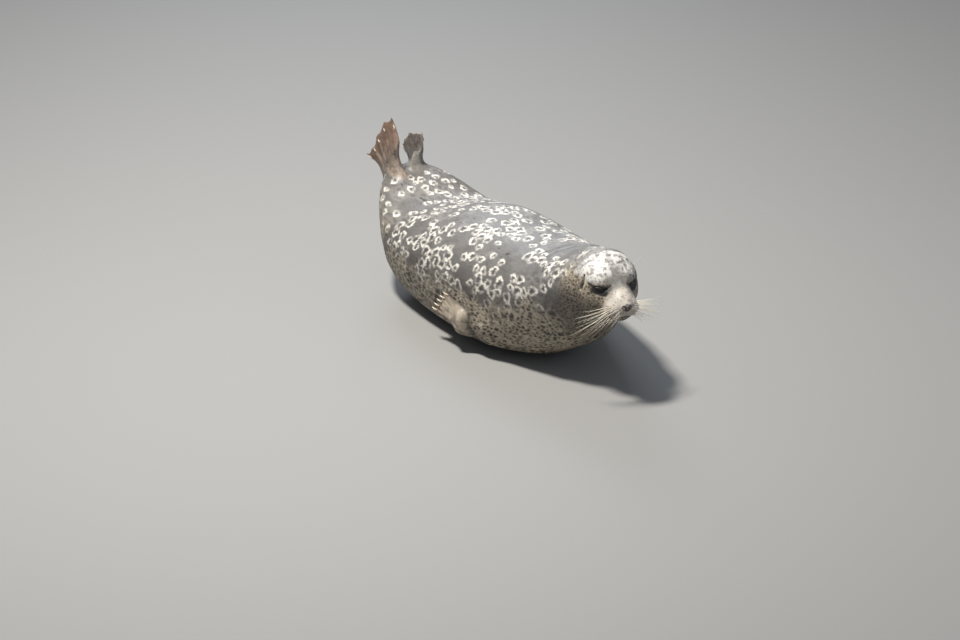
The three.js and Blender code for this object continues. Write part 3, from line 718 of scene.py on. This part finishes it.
def head_marks(points, colour, fine, mottle, speckle):
    """The head's colours, laid over the trunk's up to the neck, with painted shade in the mouth, the ear
    slits and the neck's folds, and partly under the jaw.
    """
    place = in_head(points)
    aside, ahead, above = abs(place[:, 0]), place[:, 1], place[:, 2]
    cheek = mix(CHEEK, NET * 0.85, speckle * 0.75 + 0.25 * (mottle - 0.5))
    nape = mix(mix(colour, BACK * 1.02, 0.6), RING * 0.7, speckle * 0.30)
    head = mix(cheek, nape, ramp(0.012, 0.045, above) * ramp(0.06, -0.01, ahead))
    ragged = 0.012 * (hills(points, 0.016, 53) - 0.5)
    cap = ramp(-0.036, -0.024, ahead + ragged) * ramp(0.016, 0.034, above + ragged)
    cap *= ramp(0.076, 0.050, ahead + 0.25 * (0.05 - above) + ragged)
    freckle = ramp(0.52, 0.70, hills(points, 0.0062, 54)) * 0.7 + ramp(0.55, 0.75, mottle) * 0.35
    cap_colour = mix(CAP, FACE_GREY * 0.75, freckle)
    head = mix(head, cap_colour, cap)
    band = ramp(0.024, 0.010, aside + ragged) * ramp(0.022, 0.048, ahead) * (above > -0.005)
    brow = ramp(0.050, 0.066, ahead) * ramp(0.052, 0.030, aside) * ramp(-0.01, 0.01, above)
    grey = mix(FACE_GREY, CAP * 0.75, 0.55 * mottle * ramp(0.3, 0.7, fine + 0.5))
    head = mix(head, grey, np.maximum(band, brow * 0.75))
    pad_ahead = ahead + ragged - 0.35 * np.maximum(0, aside - 0.030) + 0.2 * np.minimum(0, above)
    pad = ramp(0.074, 0.096, pad_ahead) * ramp(-0.060, -0.040, above)
    muzzle_colour = MUZZLE_PALE * (0.82 + 0.36 * mottle)[:, None]
    muzzle_colour = mix(muzzle_colour, CHEEK, ramp(0.62, 0.78, hills(points, 0.0048, 55)) * 0.5)
    head = mix(head, muzzle_colour, pad)
    # Painted shade: a dark line along the closed mouth.
    painted_mouth_shade = trench(above - MOUTH_HEIGHT - 0.007 * ramp(0.10, 0.045, ahead), 0.0022)
    head = mix(head, DARK, 0.85 * painted_mouth_shade * ramp(MOUTH_BACK, MOUTH_BACK + 0.01, ahead))
    ear_gap = ear_distance(place)
    head = mix(head, NET, 0.5 * trench(ear_gap - 0.0065, 0.0022))
    # Painted shade: the ear slit is dark inside.
    head = mix(head, DARK, ramp(0.0040, 0.0018, ear_gap))
    for spot in follicle_spots:
        beside = abs(points[:, 1] - spot[1]) < 0.003
        dot = ramp(0.0017, 0.0008, lengths(points[beside] - spot))
        head[beside] = mix(head[beside], DARK * 1.5, dot * 0.85)
    # Darker under the jaw: dark speckled fur, with painted shade under the head.
    throat = ramp(-0.044, -0.062, above + ragged)
    head = mix(head, mix(CHEEK * 0.7, NET * 0.7, speckle * 0.6), throat)
    for side in SIDES:
        local = in_eye(points, side)
        rim = np.hypot(local[:, 0] / 0.0285, (local[:, 1] + 0.0055) / 0.0155)
        dark = ramp(1.12, 0.80, rim + 0.10 * (mottle - 0.5)) * (local[:, 2] > 0)
        outer = groove(local[:, :2], [(0.02, -0.004), (0.034, 0.006)], 0.004)
        inner = groove(local[:, :2], [(-0.026, 0.0), (-0.031, 0.010)], 0.0035)
        outer, inner = outer * (local[:, 2] > -0.01), inner * (local[:, 2] > -0.004)
        head = mix(head, DARK, np.maximum.reduce([dark, 0.9 * outer, 0.85 * inner]))
    colour = mix(colour, head, ramp(-0.085, -0.030, ahead + 0.25 * above + ragged * 2))
    # Painted shade: the coat is darkened along each of the neck's folds, most on the sides.
    sunk = (1 - ramp(0.05, 0.15, 0.075 - above)) * (0.4 + 0.6 * ramp(0.01, 0.05, aside))
    for crown, lean, deep, width in FOLDS:
        fold = trench(fold_offset(place, crown, lean), width * 0.55)
        colour = colour * (1 - 110 * deep * fold * sunk)[:, None].clip(0.35, 1)
    return colour


def flipper_marks(points, colour, node, share, streak, fine, mottle):
    """One flipper's plain fur, laid over the rest: darker between the digits and at the web, with a painted
    highlight along a fore flipper's upper edge and painted shade in the crease where it meets the body.
    """
    root = flipper_root[node]
    out = lengths(points - root) / np.linalg.norm(flipper_tip[node] - root)
    paint = FLIPPER_COLOURS[node] * (0.90 + 0.7 * streak + 0.5 * fine)[:, None].clip(0.4, 1.6)
    paint = mix(paint, NET_SPOT, ramp(0.60, 0.78, hills(points, 0.012, 61)) * 0.55)
    digit = np.min([line_distance(points, [root, tip]) for tip in claw_middles(node)], axis=0)
    between = ramp(0.005, 0.011, digit) * ramp(0.45, 0.75, out)
    paint = paint * (1 - 0.45 * between)[:, None]
    web = ramp(0.70, 0.95, out + 0.2 * (mottle - 0.5))
    paint = mix(paint, WEB_COLOUR, web * WEB_SHARE[node])
    # Painted shade in the crease where the flipper meets the body.
    painted_crease_shade = 4 * share * (1 - share)
    if node.startswith("fore"):
        # Painted highlight: a pale band along the fore flipper's upper edge, where the light from above
        # falls.
        painted_edge_highlight = trench(points[:, 2] - 0.128 - 0.10 * (points[:, 1] + 0.20), 0.016)
        paint = mix(paint, NET * 1.15, 0.6 * painted_edge_highlight)
    else:
        painted_crease_shade = painted_crease_shade * ramp(0.62, 0.30, out)
    colour = mix(colour, paint, ramp(0.30, 0.75, share + 0.3 * (mottle - 0.5)))
    return colour * (1 - 0.55 * painted_crease_shade)[:, None]


def markings(points, normals, flow, share):
    """The coat's colour at each point, as red, green and blue."""
    streak = hills(points * (1, 0.16, 1), 0.0032, 21) - 0.5
    fine = hills(points, 0.0060, 22) - 0.5
    mottle = hills(points, 0.011, 52)
    speckle = ramp(0.30, 0.10, crackle(points, 0.0090, 51))
    colour = trunk_marks(points, normals, flow, streak, fine)
    colour = head_marks(points, colour, fine, mottle, speckle)
    for node in FLIPPERS:
        colour = flipper_marks(points, colour, node, share[node], streak, fine, mottle)
    tail_colour = mix(FLIPPER_COLOURS["hind_flipper_left"] * 0.85, NET, speckle * 0.25)
    return mix(colour, tail_colour, share["tail"]).clip(0.008, 0.85)


def paint_points(mesh, colour):
    tone = mesh.attributes.new("tone", "FLOAT_COLOR", "POINT")
    full = np.ones((len(mesh.vertices), 4), np.float32)
    full[:, :3] = colour
    tone.data.foreach_set("color", full.ravel())


paint_points(skin.data, markings(co, skin_normals, skin_flow, near) * 0.92)


def new_finish(name, roughness, grain=None, **sockets):
    """The piece's painted tone. A grain adds a bump: its scale, stretch, strength and depth."""
    finish = bpy.data.materials.new(name)
    finish.use_nodes = True
    nodes, link = finish.node_tree.nodes, finish.node_tree.links.new
    shader = nodes["Principled BSDF"]

    def set_sockets(node, values):
        for socket, value in values.items():
            node.inputs[socket.replace("_", " ")].default_value = value
        return node

    def add(kind, **values):
        return set_sockets(nodes.new("ShaderNode" + kind), values)

    set_sockets(shader, {"Roughness": roughness, **sockets})
    place = add("TexCoord").outputs["Object"]
    tone = add("Attribute")
    tone.attribute_name = "tone"
    mottle = add("TexNoise", Scale=260)
    spread = add("MapRange", To_Min=0.80, To_Max=1.18)
    tint = add("VectorMath")
    tint.operation = "SCALE"
    link(place, mottle.inputs["Vector"])
    link(mottle.outputs["Fac"], spread.inputs["Value"])
    link(tone.outputs["Color"], tint.inputs[0])
    link(spread.outputs["Result"], tint.inputs["Scale"])
    link(tint.outputs["Vector"], shader.inputs["Base Color"])
    if grain:
        scale, stretch, strength, distance = grain
        turn = add("Mapping", Scale=stretch)
        noise = add("TexNoise", Scale=scale, Detail=3)
        bump = add("Bump", Strength=strength, Distance=distance)
        link(place, turn.inputs["Vector"])
        link(turn.outputs["Vector"], noise.inputs["Vector"])
        link(noise.outputs["Fac"], bump.inputs["Height"])
        link(bump.outputs["Normal"], shader.inputs["Normal"])
    return finish


hide_finish = new_finish("hide_fur", 0.42, (420, (1, 0.16, 1), 0.7, 0.0006), Specular_IOR_Level=0.5)
skin.data.materials.clear()
skin.data.materials.append(hide_finish)
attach(skin, "root")
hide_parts(*TRUNK_NODES, *HEAD_NODES, *LIMB_NODES)

# ---------- coat ----------
# Short, flat, oily guard hairs in tufts of a few millimetres. Each tuft is a thin closed spindle, rooted in
# the hide, that lies along the coat; they are smallest on the face and the flippers.
COAT_SEED = 41
corner_a, corner_b, corner_c = (co[triangles[:, k]] for k in range(3))
triangle_area = lengths(np.cross(corner_b - corner_a, corner_c - corner_a)) / 2
triangle_middle = (corner_a + corner_b + corner_c) / 3
triangle_place = in_head(triangle_middle)
triangle_near = {name: near[name][triangles].mean(axis=1) for name in near_names}

coat_finish = new_finish("coat_fur", 0.43, Specular_IOR_Level=0.45)

# Tuft corners: root, three round the middle, tip. Columns are the shares along, across and out.
TUFT = np.array([(0, 0, -0.10), (0.42, 0.5, 0.30), (0.42, -0.5, 0.30), (0.48, 0, 1), (1, 0, 0.55)])
TUFT_FACES = np.array([(0, 1, 3), (0, 3, 2), (0, 2, 1), (4, 3, 1), (4, 2, 3), (4, 1, 2)])
# Its shading leans only a little from the hide's, as on a sleek coat: shares along and across.
TUFT_LEAN = np.array([(-0.10, 0), (0, 0.34), (0, -0.34), (0, 0), (0.22, 0)])
TUFT_SPREAD = ((0.72, 1.25), (0.75, 1.25), (0.6, 1.35))  # from the shortest to the longest, beside 1
TUFT_SHADE = np.array([0.62, 0.95, 0.95, 1.0, 1.10])
TUFT_BEND = np.array([0, 0.24, 0.24, 0.24, 0.85])
PATCH = 0.003  # the width of one tuft's patch in the UV map
coat_draw = np.random.default_rng(COAT_SEED)


def keep_off(points):
    """True where no tuft grows: under the belly, in the eye slits, in the ear slits and on the nose leather.
    """
    place = in_head(points)
    bare = points[:, 2] < 0.004
    for side in SIDES:
        local = in_eye(points, side)
        upper, lower = slit_edges(local[:, 0])
        slit = (local[:, 1] < upper + 0.0022) & (local[:, 1] > lower - 0.0016)
        bare |= slit & (abs(local[:, 0]) < SLIT_HALF + 0.003) & (local[:, 2] > 0)
    bare |= ear_distance(place) < 0.0022
    nose = np.hypot(place[:, 0] / 0.0166, (place[:, 2] + 0.0095) / 0.0118) < 1
    return bare | (nose & (place[:, 1] > 0.11))


def everywhere(points, out):
    return np.ones(len(points))


def lay_tufts(name, chosen, count, size, unwrap, grown=everywhere):
    """Lays tufts of a given length, width and rise over the chosen triangles of the hide."""
    total_area = np.cumsum(triangle_area * chosen)
    pick = np.searchsorted(total_area, coat_draw.random(count) * total_area[-1])
    r1, r2 = np.sqrt(coat_draw.random(count)), coat_draw.random(count)
    weights = np.stack([1 - r1, r1 * (1 - r2), r1 * r2], axis=1)

    def blend(values):
        return np.einsum("ij,ijk->ik", weights, values[triangles[pick]])

    root = blend(co)
    stay = ~keep_off(root) & (coat_draw.random(count) < grown(root, unit(blend(skin_normals))))
    pick, weights, root = pick[stay], weights[stay], root[stay]
    out, along, share = unit(blend(skin_normals)), blend(skin_flow), blend(near_table)
    along = unit(along - out * np.sum(along * out, axis=1, keepdims=True))
    across = np.cross(along, out)
    turn = (0.5 * (hills(root, 0.030, 71) - 0.5) + coat_draw.normal(0, 0.13, len(root)))[:, None]
    along, across = along * np.cos(turn) + across * np.sin(turn), across * np.cos(turn) - along * np.sin(turn)
    spreads = zip(size, TUFT_SPREAD)
    long, wide, high = (mean * coat_draw.uniform(*ends, len(root))[:, None] for mean, ends in spreads)
    mesh_points = root[:, None] + TUFT[None, :, :1] * (along * long)[:, None]
    mesh_points += TUFT[None, :, 1:2] * (across * wide)[:, None]
    mesh_points += TUFT[None, :, 2:] * (out * high)[:, None]
    # Tips are laid back on the hide, so that tufts follow folds and edges.
    bend = np.array([nearest_on_hide(tip) for tip in (root + along * long).tolist()]) - root - along * long
    mesh_points += bend[:, None] * TUFT_BEND[:, None]
    mesh_points[..., 2] = np.maximum(mesh_points[..., 2], 0.0003)
    colour = markings(root + along * long * 0.55, out, along, dict(zip(near_names, share.T)))
    colour = colour * coat_draw.uniform(0.88, 1.13, len(root))[:, None]
    faces = (TUFT_FACES[None] + len(TUFT) * np.arange(len(root))[:, None, None]).reshape(-1, 3)
    mesh = bpy.data.meshes.new(name)
    mesh.vertices.add(len(root) * len(TUFT))
    mesh.loops.add(faces.size)
    mesh.polygons.add(len(faces))
    mesh.vertices.foreach_set("co", mesh_points.astype(np.float32).ravel())
    mesh.loops.foreach_set("vertex_index", faces.astype(np.int32).ravel())
    mesh.polygons.foreach_set("loop_start", np.arange(0, faces.size, 3, dtype=np.int32))
    mesh.polygons.foreach_set("use_smooth", np.ones(len(faces), bool))
    mesh.update(calc_edges=True)
    lean = out[:, None] + TUFT_LEAN[None, :, :1] * along[:, None] + TUFT_LEAN[None, :, 1:] * across[:, None]
    mesh.normals_split_custom_set_from_vertices(unit(lean).reshape(-1, 3).astype(np.float32))
    paint_points(mesh, (colour[:, None] * TUFT_SHADE[None, :, None]).reshape(-1, 3).clip(0.006, 0.9))
    patch = unwrap(root, out)
    patch = 0.01 + 0.98 * (patch - patch.min(0)) / np.ptp(patch, axis=0)
    corners = (patch[:, None] + (TUFT[None, :, :2][..., ::-1] - (0, 0.5)) * PATCH).reshape(-1, 2)
    bake_map = mesh.uv_layers.new(name="OFBake")
    bake_map.uv.foreach_set("vector", corners[faces.ravel()].astype(np.float32).ravel())
    mesh.materials.append(coat_finish)
    piece = new_object(name, mesh)
    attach(piece, "root")


def round_body(points, out):
    """Round the body's long axis, and along it."""
    return np.stack([np.arctan2(points[:, 0], points[:, 2] - 0.16) / math.pi, points[:, 1]], axis=1)


def round_head(points, out):
    place = in_head(points)
    return np.stack([np.arctan2(place[:, 0], place[:, 2] + 0.01) / math.pi, place[:, 1]], axis=1)


def along_limb(node):
    def unwrap(points, out):
        run = unit(flipper_tip[node] - flipper_root[node])
        facing = np.cross(run, (1, 0, 0)) if node.startswith("hind") else np.array((1.0, 0, 0))
        cross = unit(np.cross(run, facing))
        face = np.where(out @ facing > 0, 0, 1)
        offset = (points - flipper_root[node]) @ cross
        return np.stack([offset + face * 0.25, (points - flipper_root[node]) @ run], axis=1)
    return unwrap


def off_rim(node):
    """The margins of a flipper are bare: tufts grow where the hide faces the way its broad sides do."""
    spots = co[near[node] > 0.7]
    spread = np.linalg.eigh(np.cov((spots - spots.mean(0)).T))[1][:, 0]

    def grown(points, out):
        return ramp(0.62, 0.90, abs(out @ spread))
    return grown


# Where each piece of the coat ends, ahead of the skull's middle on the head and along the body.
HEAD_END, CROWN_END, CHEEK_END = -0.045, 0.020, 0.078
NECK_END, CHEST_END, BELLY_END, LOIN_END = -0.36, -0.12, 0.14, 0.30
ahead_of, y = triangle_place[:, 1], triangle_middle[:, 1]
on_head = ahead_of > HEAD_END
body = ~on_head & ~(sum(triangle_near[node] for node in LIMB_NODES) > 0.5)
crown, cheeks = on_head & (ahead_of <= CROWN_END), on_head & (ahead_of > CROWN_END) & (ahead_of <= CHEEK_END)
lay_tufts("coat_muzzle", on_head & (ahead_of > CHEEK_END), 15000, (0.0034, 0.0006, 0.00035), round_head)
lay_tufts("coat_cheeks", cheeks, 25000, (0.0048, 0.0008, 0.00045), round_head)
lay_tufts("coat_crown", crown, 22000, (0.0068, 0.0009, 0.0007), round_head)
lay_tufts("coat_neck", body & (y < NECK_END), 28000, (0.0092, 0.0012, 0.0009), round_body)
for side, half in (("right", triangle_middle[:, 0] < 0), ("left", triangle_middle[:, 0] >= 0)):
    half = half & body
    chest, belly = half & (y >= NECK_END) & (y < CHEST_END), half & (y >= CHEST_END) & (y < BELLY_END)
    lay_tufts(f"coat_chest_{side}", chest, 23000, (0.0110, 0.0013, 0.0010), round_body)
    lay_tufts(f"coat_belly_{side}", belly, 23000, (0.0115, 0.0013, 0.0010), round_body)
loin = body & (y >= BELLY_END) & (y < LOIN_END)
lay_tufts("coat_loin", loin, 23000, (0.0105, 0.0013, 0.0010), round_body)
lay_tufts("coat_rump", body & (y >= LOIN_END), 16000, (0.0085, 0.0012, 0.0008), round_body)
lay_tufts("coat_tail", triangle_near["tail"] > 0.5, 2600, (0.0060, 0.0010, 0.0005), round_body)
for node in FLIPPERS:
    on_flipper = (triangle_near[node] > 0.5) & ~on_head
    lay_tufts("coat_" + node, on_flipper, 7500, (0.0042, 0.0008, 0.0003), along_limb(node), off_rim(node))

# ---------- nose ----------
# Bare, pebbled, moist leather between two comma-shaped nostrils. It is one closed pad that follows the hide
# below it and sinks into it all round.
NOSE_MIDDLE = -0.0095
NOSE_HALF, NOSE_TOP, NOSE_BOTTOM = 0.0182, 0.0128, 0.0135
NOSE_RINGS, NOSE_SIDES = 26, 88
NOSE_SUNK, PEBBLE = 0.009, 0.00022  # how far the hide is pressed in below the pad, and the pebbles' height
NOSE_COLOUR, NOSTRIL_SHADE = rgb(0.150, 0.132, 0.118), rgb(0.006, 0.005, 0.005)


def on_hide(place):
    """The hide straight behind a place seen from ahead, and its normal."""
    hit, normal, _, _ = hide_tree.ray_cast(Vector(from_head([place])[0]), Vector(-head_ahead))
    return np.array(hit), np.array(normal)


def new_piece(name, corners, faces):
    mesh = bpy.data.meshes.new(name)
    mesh.from_pydata([tuple(c) for c in np.asarray(corners)], [], faces)
    mesh.polygons.foreach_set("use_smooth", np.ones(len(mesh.polygons), bool))
    piece = new_object(name, mesh)
    mode("EDIT")
    bpy.ops.mesh.select_all(action="SELECT")
    bpy.ops.mesh.normals_make_consistent(inside=False)
    mode("OBJECT")
    return piece


corners, tones = [], []
for ring in range(NOSE_RINGS + 1):
    r = ring / NOSE_RINGS
    for k in range(NOSE_SIDES if ring else 1):
        t = 2 * math.pi * k / NOSE_SIDES
        a = NOSE_HALF * math.cos(t) * (1 - 0.42 * max(0, -math.sin(t)) ** 1.5) * r
        c = (NOSE_TOP if math.sin(t) > 0 else NOSE_BOTTOM) * math.sin(t) * r
        c -= 0.0022 * max(0, math.sin(t)) * abs(math.cos(t)) * r
        place, normal = on_hide((a, 0.25, NOSE_MIDDLE + c))
        spot = np.array([[abs(a), NOSE_MIDDLE + c]])
        slit = trench(line_distance(spot, NOSTRIL), 0.0015)[0]
        lip = trench(line_distance(spot, NOSTRIL) - 0.0036, 0.0016)[0]
        parting = trench(a, 0.0011) * (1 if c < 0.003 else 0)
        pebble = PEBBLE * math.sin(a * 5200 + 2 * math.sin(c * 3100))
        pebble *= math.sin(c * 4700 + 2 * math.sin(a * 2600))
        lift = 0.0011 * (1 - r ** 5) - 0.0009 * r ** 8 + pebble * (1 - slit) + 0.0004 * lip - 0.0009 * parting
        corners.append(place + normal * lift - head_ahead * 0.0050 * slit * (1 - r ** 8))
        # Painted shade: the nostril slits are near black, and the parting between them a little darker.
        tones.append(NOSE_COLOUR * (1 - 0.25 * parting) * (1 - slit) + NOSTRIL_SHADE * slit)
rim = 1 + (NOSE_RINGS - 1) * NOSE_SIDES
corners += [corners[rim + k] - head_ahead * 0.006 for k in range(NOSE_SIDES)]
corners.append(corners[0] - head_ahead * 0.012)
tones += [NOSE_COLOUR] * (NOSE_SIDES + 1)
faces = [(0, 1 + k, 1 + (k + 1) % NOSE_SIDES) for k in range(NOSE_SIDES)]
for ring in range(NOSE_RINGS):
    for k in range(NOSE_SIDES):
        inner, outer = 1 + ring * NOSE_SIDES, 1 + (ring + 1) * NOSE_SIDES
        after = (k + 1) % NOSE_SIDES
        faces.append((inner + k, outer + k, outer + after, inner + after))
last = 1 + NOSE_RINGS * NOSE_SIDES
faces += [(len(corners) - 1, last + (k + 1) % NOSE_SIDES, last + k) for k in range(NOSE_SIDES)]
nose = new_piece("nose_leather", corners, faces)
hide_points = points_of(skin.data)
place = in_head(hide_points)
below_pad = np.hypot(place[:, 0] / NOSE_HALF, (place[:, 2] - NOSE_MIDDLE) / NOSE_TOP)
sunk = ramp(0.86, 0.60, below_pad) * (place[:, 1] > 0.10)
place_points(skin.data, hide_points - head_ahead * NOSE_SUNK * sunk[:, None])
paint_points(nose.data, np.array(tones))
NOSE_GRAIN = (900, (1, 1, 1), 0.4, 0.0002)
nose_finish = new_finish("nose_leather", 0.30, NOSE_GRAIN, Specular_IOR_Level=0.6, Coat_Weight=0.25)
nose.data.materials.append(nose_finish)
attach(nose, "root")
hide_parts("nose")

# ---------- eyes ----------
# Large dark glossy balls, set in their sockets behind drowsy lids. The pupil is black in a dark brown iris.
EYE_SIDES, EYE_ROWS = 64, 40
PUPIL_EDGE, IRIS_EDGE = (15, 19), (36, 42)  # degrees off the gaze, from where each fades to where it ends
PUPIL = rgb(0.002, 0.002, 0.002)
IRIS, BALL = rgb(0.014, 0.008, 0.005), rgb(0.006, 0.005, 0.004)
eye_finish = new_finish("eye_wet", 0.05, Specular_IOR_Level=0.28)
for side in SIDES:
    turn = Vector(eye_frames[side][2]).to_track_quat("Z", "Y").to_euler()
    bpy.ops.mesh.primitive_uv_sphere_add(segments=EYE_SIDES, ring_count=EYE_ROWS, radius=EYE_RADIUS,
                                         location=eye_middle[side], rotation=turn)
    eyeball = bpy.context.object
    eyeball.name = "eyeball_" + side
    bpy.ops.object.transform_apply(location=True, rotation=True, scale=True)
    bpy.ops.object.shade_smooth()
    off_axis = np.degrees(np.arccos(unit(points_of(eyeball.data) - eye_middle[side]) @ eye_frames[side][2]))
    tone = mix(PUPIL, IRIS, ramp(*PUPIL_EDGE, off_axis))
    paint_points(eyeball.data, mix(tone, BALL, ramp(*IRIS_EDGE, off_axis)))
    eyeball.data.materials.append(eye_finish)
    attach(eyeball, "root")
    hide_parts("eye_" + side)

# ---------- eyelid rims ----------
# Thin, dark, moist edges of the lids, drawn out at the inner corner into the tear groove.
RIM_STEPS, RIM_SIDES, RIM_RADIUS = 72, 8, 0.00125


def tube(path, radii, sides, closed=False):
    """A closed skin round a path: a ring at each point, with flat caps at the ends unless the path is a loop.
    """
    path = np.asarray(path, float)
    ahead = np.roll(path, -1, 0) - np.roll(path, 1, 0) if closed else np.gradient(path, axis=0)
    ahead = unit(ahead)
    side_on = unit(np.cross(ahead, unit(path.mean(0) - skull + np.array((0.001, 0.002, 0.003)))))
    over = np.cross(side_on, ahead)
    turns = 2 * math.pi * np.arange(sides) / sides
    ring = np.cos(turns)[None, :, None] * side_on[:, None] + np.sin(turns)[None, :, None] * over[:, None]
    corners = (path[:, None] + ring * np.asarray(radii)[:, None, None]).reshape(-1, 3)
    count = len(path)
    faces = []
    for i in range(count if closed else count - 1):
        here, there = i * sides, (i + 1) % count * sides
        for k in range(sides):
            after = (k + 1) % sides
            faces.append((here + k, here + after, there + after, there + k))
    if not closed:
        faces += [tuple(range(sides))[::-1], tuple((count - 1) * sides + k for k in range(sides))]
    return corners, faces


rim_finish = new_finish("lid_rim", 0.25, Specular_IOR_Level=0.6)
for side in SIDES:
    t = 2 * math.pi * np.arange(RIM_STEPS) / RIM_STEPS
    x = SLIT_HALF * np.cos(t)
    upper, lower = slit_edges(x)
    y = np.where(np.sin(t) > 0, upper, lower) + 0.0004 * np.sign(np.sin(t))
    x = x - 0.0060 * np.clip((-np.cos(t) - 0.93) / 0.07, 0, 1)
    depth = np.sqrt((EYE_RADIUS + 0.0013) ** 2 - x ** 2 - y ** 2)
    path = np.stack([x, y, depth], axis=1) @ eye_frames[side] + eye_middle[side]
    corners, faces = tube(path, RIM_RADIUS * (1 + 0.25 * np.sin(3 * t)), RIM_SIDES, closed=True)
    rim = new_piece("lid_rim_" + side, corners, faces)
    paint_points(rim.data, DARK * 0.8)
    rim.data.materials.append(rim_finish)
    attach(rim, "root")

# ---------- claws ----------
# Pale horn claws at the ends of the digits, long and nearly straight on the fore flippers, small on the
# hind ones. Each keeps its tip and runs back into the flipper.
HORN, HORN_ROOT = rgb(0.66, 0.60, 0.48), rgb(0.23, 0.17, 0.12)
CLAW_REACH = {"fore": 1.15, "hind": 1.3}
CLAW_STOUT = {"fore": 0.45, "hind": 0.2}
claw_finish = new_finish("claw_horn", 0.34, (500, (1, 0.3, 1), 0.4, 0.0002), Specular_IOR_Level=0.5)
for node in FLIPPERS:
    limb_name = node.split("_")[0]
    for k in DIGITS:
        claw_node = node.replace("flipper", "claw") + f"_{k}"
        claw = merged_copy(claw_node)
        claw.name = claw.data.name = "horn_" + claw_node
        corners = points_of(claw.data)
        far = lengths(corners - flipper_root[node])
        tip, heel = corners[far.argmax()], corners[far < np.quantile(far, 0.25)].mean(0)
        run = unit(tip - heel)
        behind = (tip - corners) @ run
        length = behind.max()
        seat = nearest_on_hide(heel)
        corners = corners + (seat - heel - run * 0.002) * (np.linalg.norm(seat - heel) > 0.001)
        corners = corners - np.outer(behind * (CLAW_REACH[limb_name] - 1), run)
        axis_points = tip - np.outer((tip - corners) @ run, run)
        stout = CLAW_STOUT[limb_name] * np.clip((tip - corners) @ run / length, 0, 1)
        corners = corners + (corners - axis_points) * stout[:, None]
        place_points(claw.data, corners)
        apply_modifier(claw, "SUBSURF", levels=2, render_levels=2)
        corners = points_of(claw.data)
        bpy.ops.object.shade_smooth()
        backward = (tip - corners) @ run / length
        horn = HORN * (0.9 + 0.2 * hills(corners, 0.003, 81))[:, None]
        paint_points(claw.data, mix(horn, HORN_ROOT, ramp(0.55, 1.1, backward) * 0.9))
        claw.data.materials.clear()
        claw.data.materials.append(claw_finish)
        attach(claw, "root")
        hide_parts(claw_node)

# ---------- whiskers ----------
# Stiff pale bristles in rows on the lip pads, longest low at the back, and a few over each eye. They sweep
# out, back and down from deep follicles.
WHISKER_SEED, WHISKER_JITTER = 5, 0.07
WHISKER_STEPS, WHISKER_SIDES = 15, 5
WHISKER_COLOUR = rgb(0.74, 0.68, 0.56)
whisker_draw = np.random.default_rng(WHISKER_SEED)
whisker_finish = new_finish("whisker_bristle", 0.32, Specular_IOR_Level=0.5)


def bristle(root, start, finish, length, thick):
    t = np.linspace(0, 1, WHISKER_STEPS)[:, None]
    bend = root + start * length * 0.50
    end = bend + finish * length * 0.58
    path = root * (1 - t) ** 2 + 2 * bend * t * (1 - t) + end * t ** 2
    return tube(path, thick * (1 - 0.82 * t[:, 0]), WHISKER_SIDES)


for side, sign in SIDES.items():
    all_corners, all_faces, total = [], [], 0
    hairs = []
    for root, row, column in follicles[side]:
        back = column / (FOLLICLE_COLUMNS - 1)
        low = row / (FOLLICLE_ROWS - 1)
        jitter = whisker_draw.normal(0, WHISKER_JITTER, (2, 3))
        start = np.array((sign * (0.62 + 0.25 * back), 0.62 - 0.45 * back, 0.10 - 0.45 * low))
        finish = np.array((sign * (0.50 + 0.40 * back), 0.05 - 0.50 * back, -0.30 - 0.42 * low))
        long = (0.028 + 0.098 * back ** 0.8 * (0.55 + 0.45 * low)) * whisker_draw.uniform(0.8, 1.2)
        hairs.append((root, start + jitter[0], finish + jitter[1], long, 0.00042 + 0.00030 * back))
    for aside, ahead, above, long in BROW_HAIRS:
        root = nearest_on_hide(from_head([(sign * aside, ahead, above)])[0])
        start = np.array((sign * 0.30, 0.42, 0.86)) + whisker_draw.normal(0, 0.08, 3)
        hairs.append((root, start, start + np.array((sign * 0.25, -0.15, -0.05)), long, 0.00038))
    for root, start, finish, long, thick in hairs:
        start, finish = (unit(from_head([way])[0] - skull) for way in (start, finish))
        corners, faces = bristle(root - start * 0.002, start, finish, long, thick)
        all_faces += [tuple(i + total for i in face) for face in faces]
        all_corners.append(corners)
        total += len(corners)
    all_corners = np.concatenate(all_corners)
    whiskers = new_piece("whiskers_" + side, all_corners, all_faces)
    paint_points(whiskers.data, WHISKER_COLOUR)
    whiskers.data.materials.append(whisker_finish)
    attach(whiskers, "root")
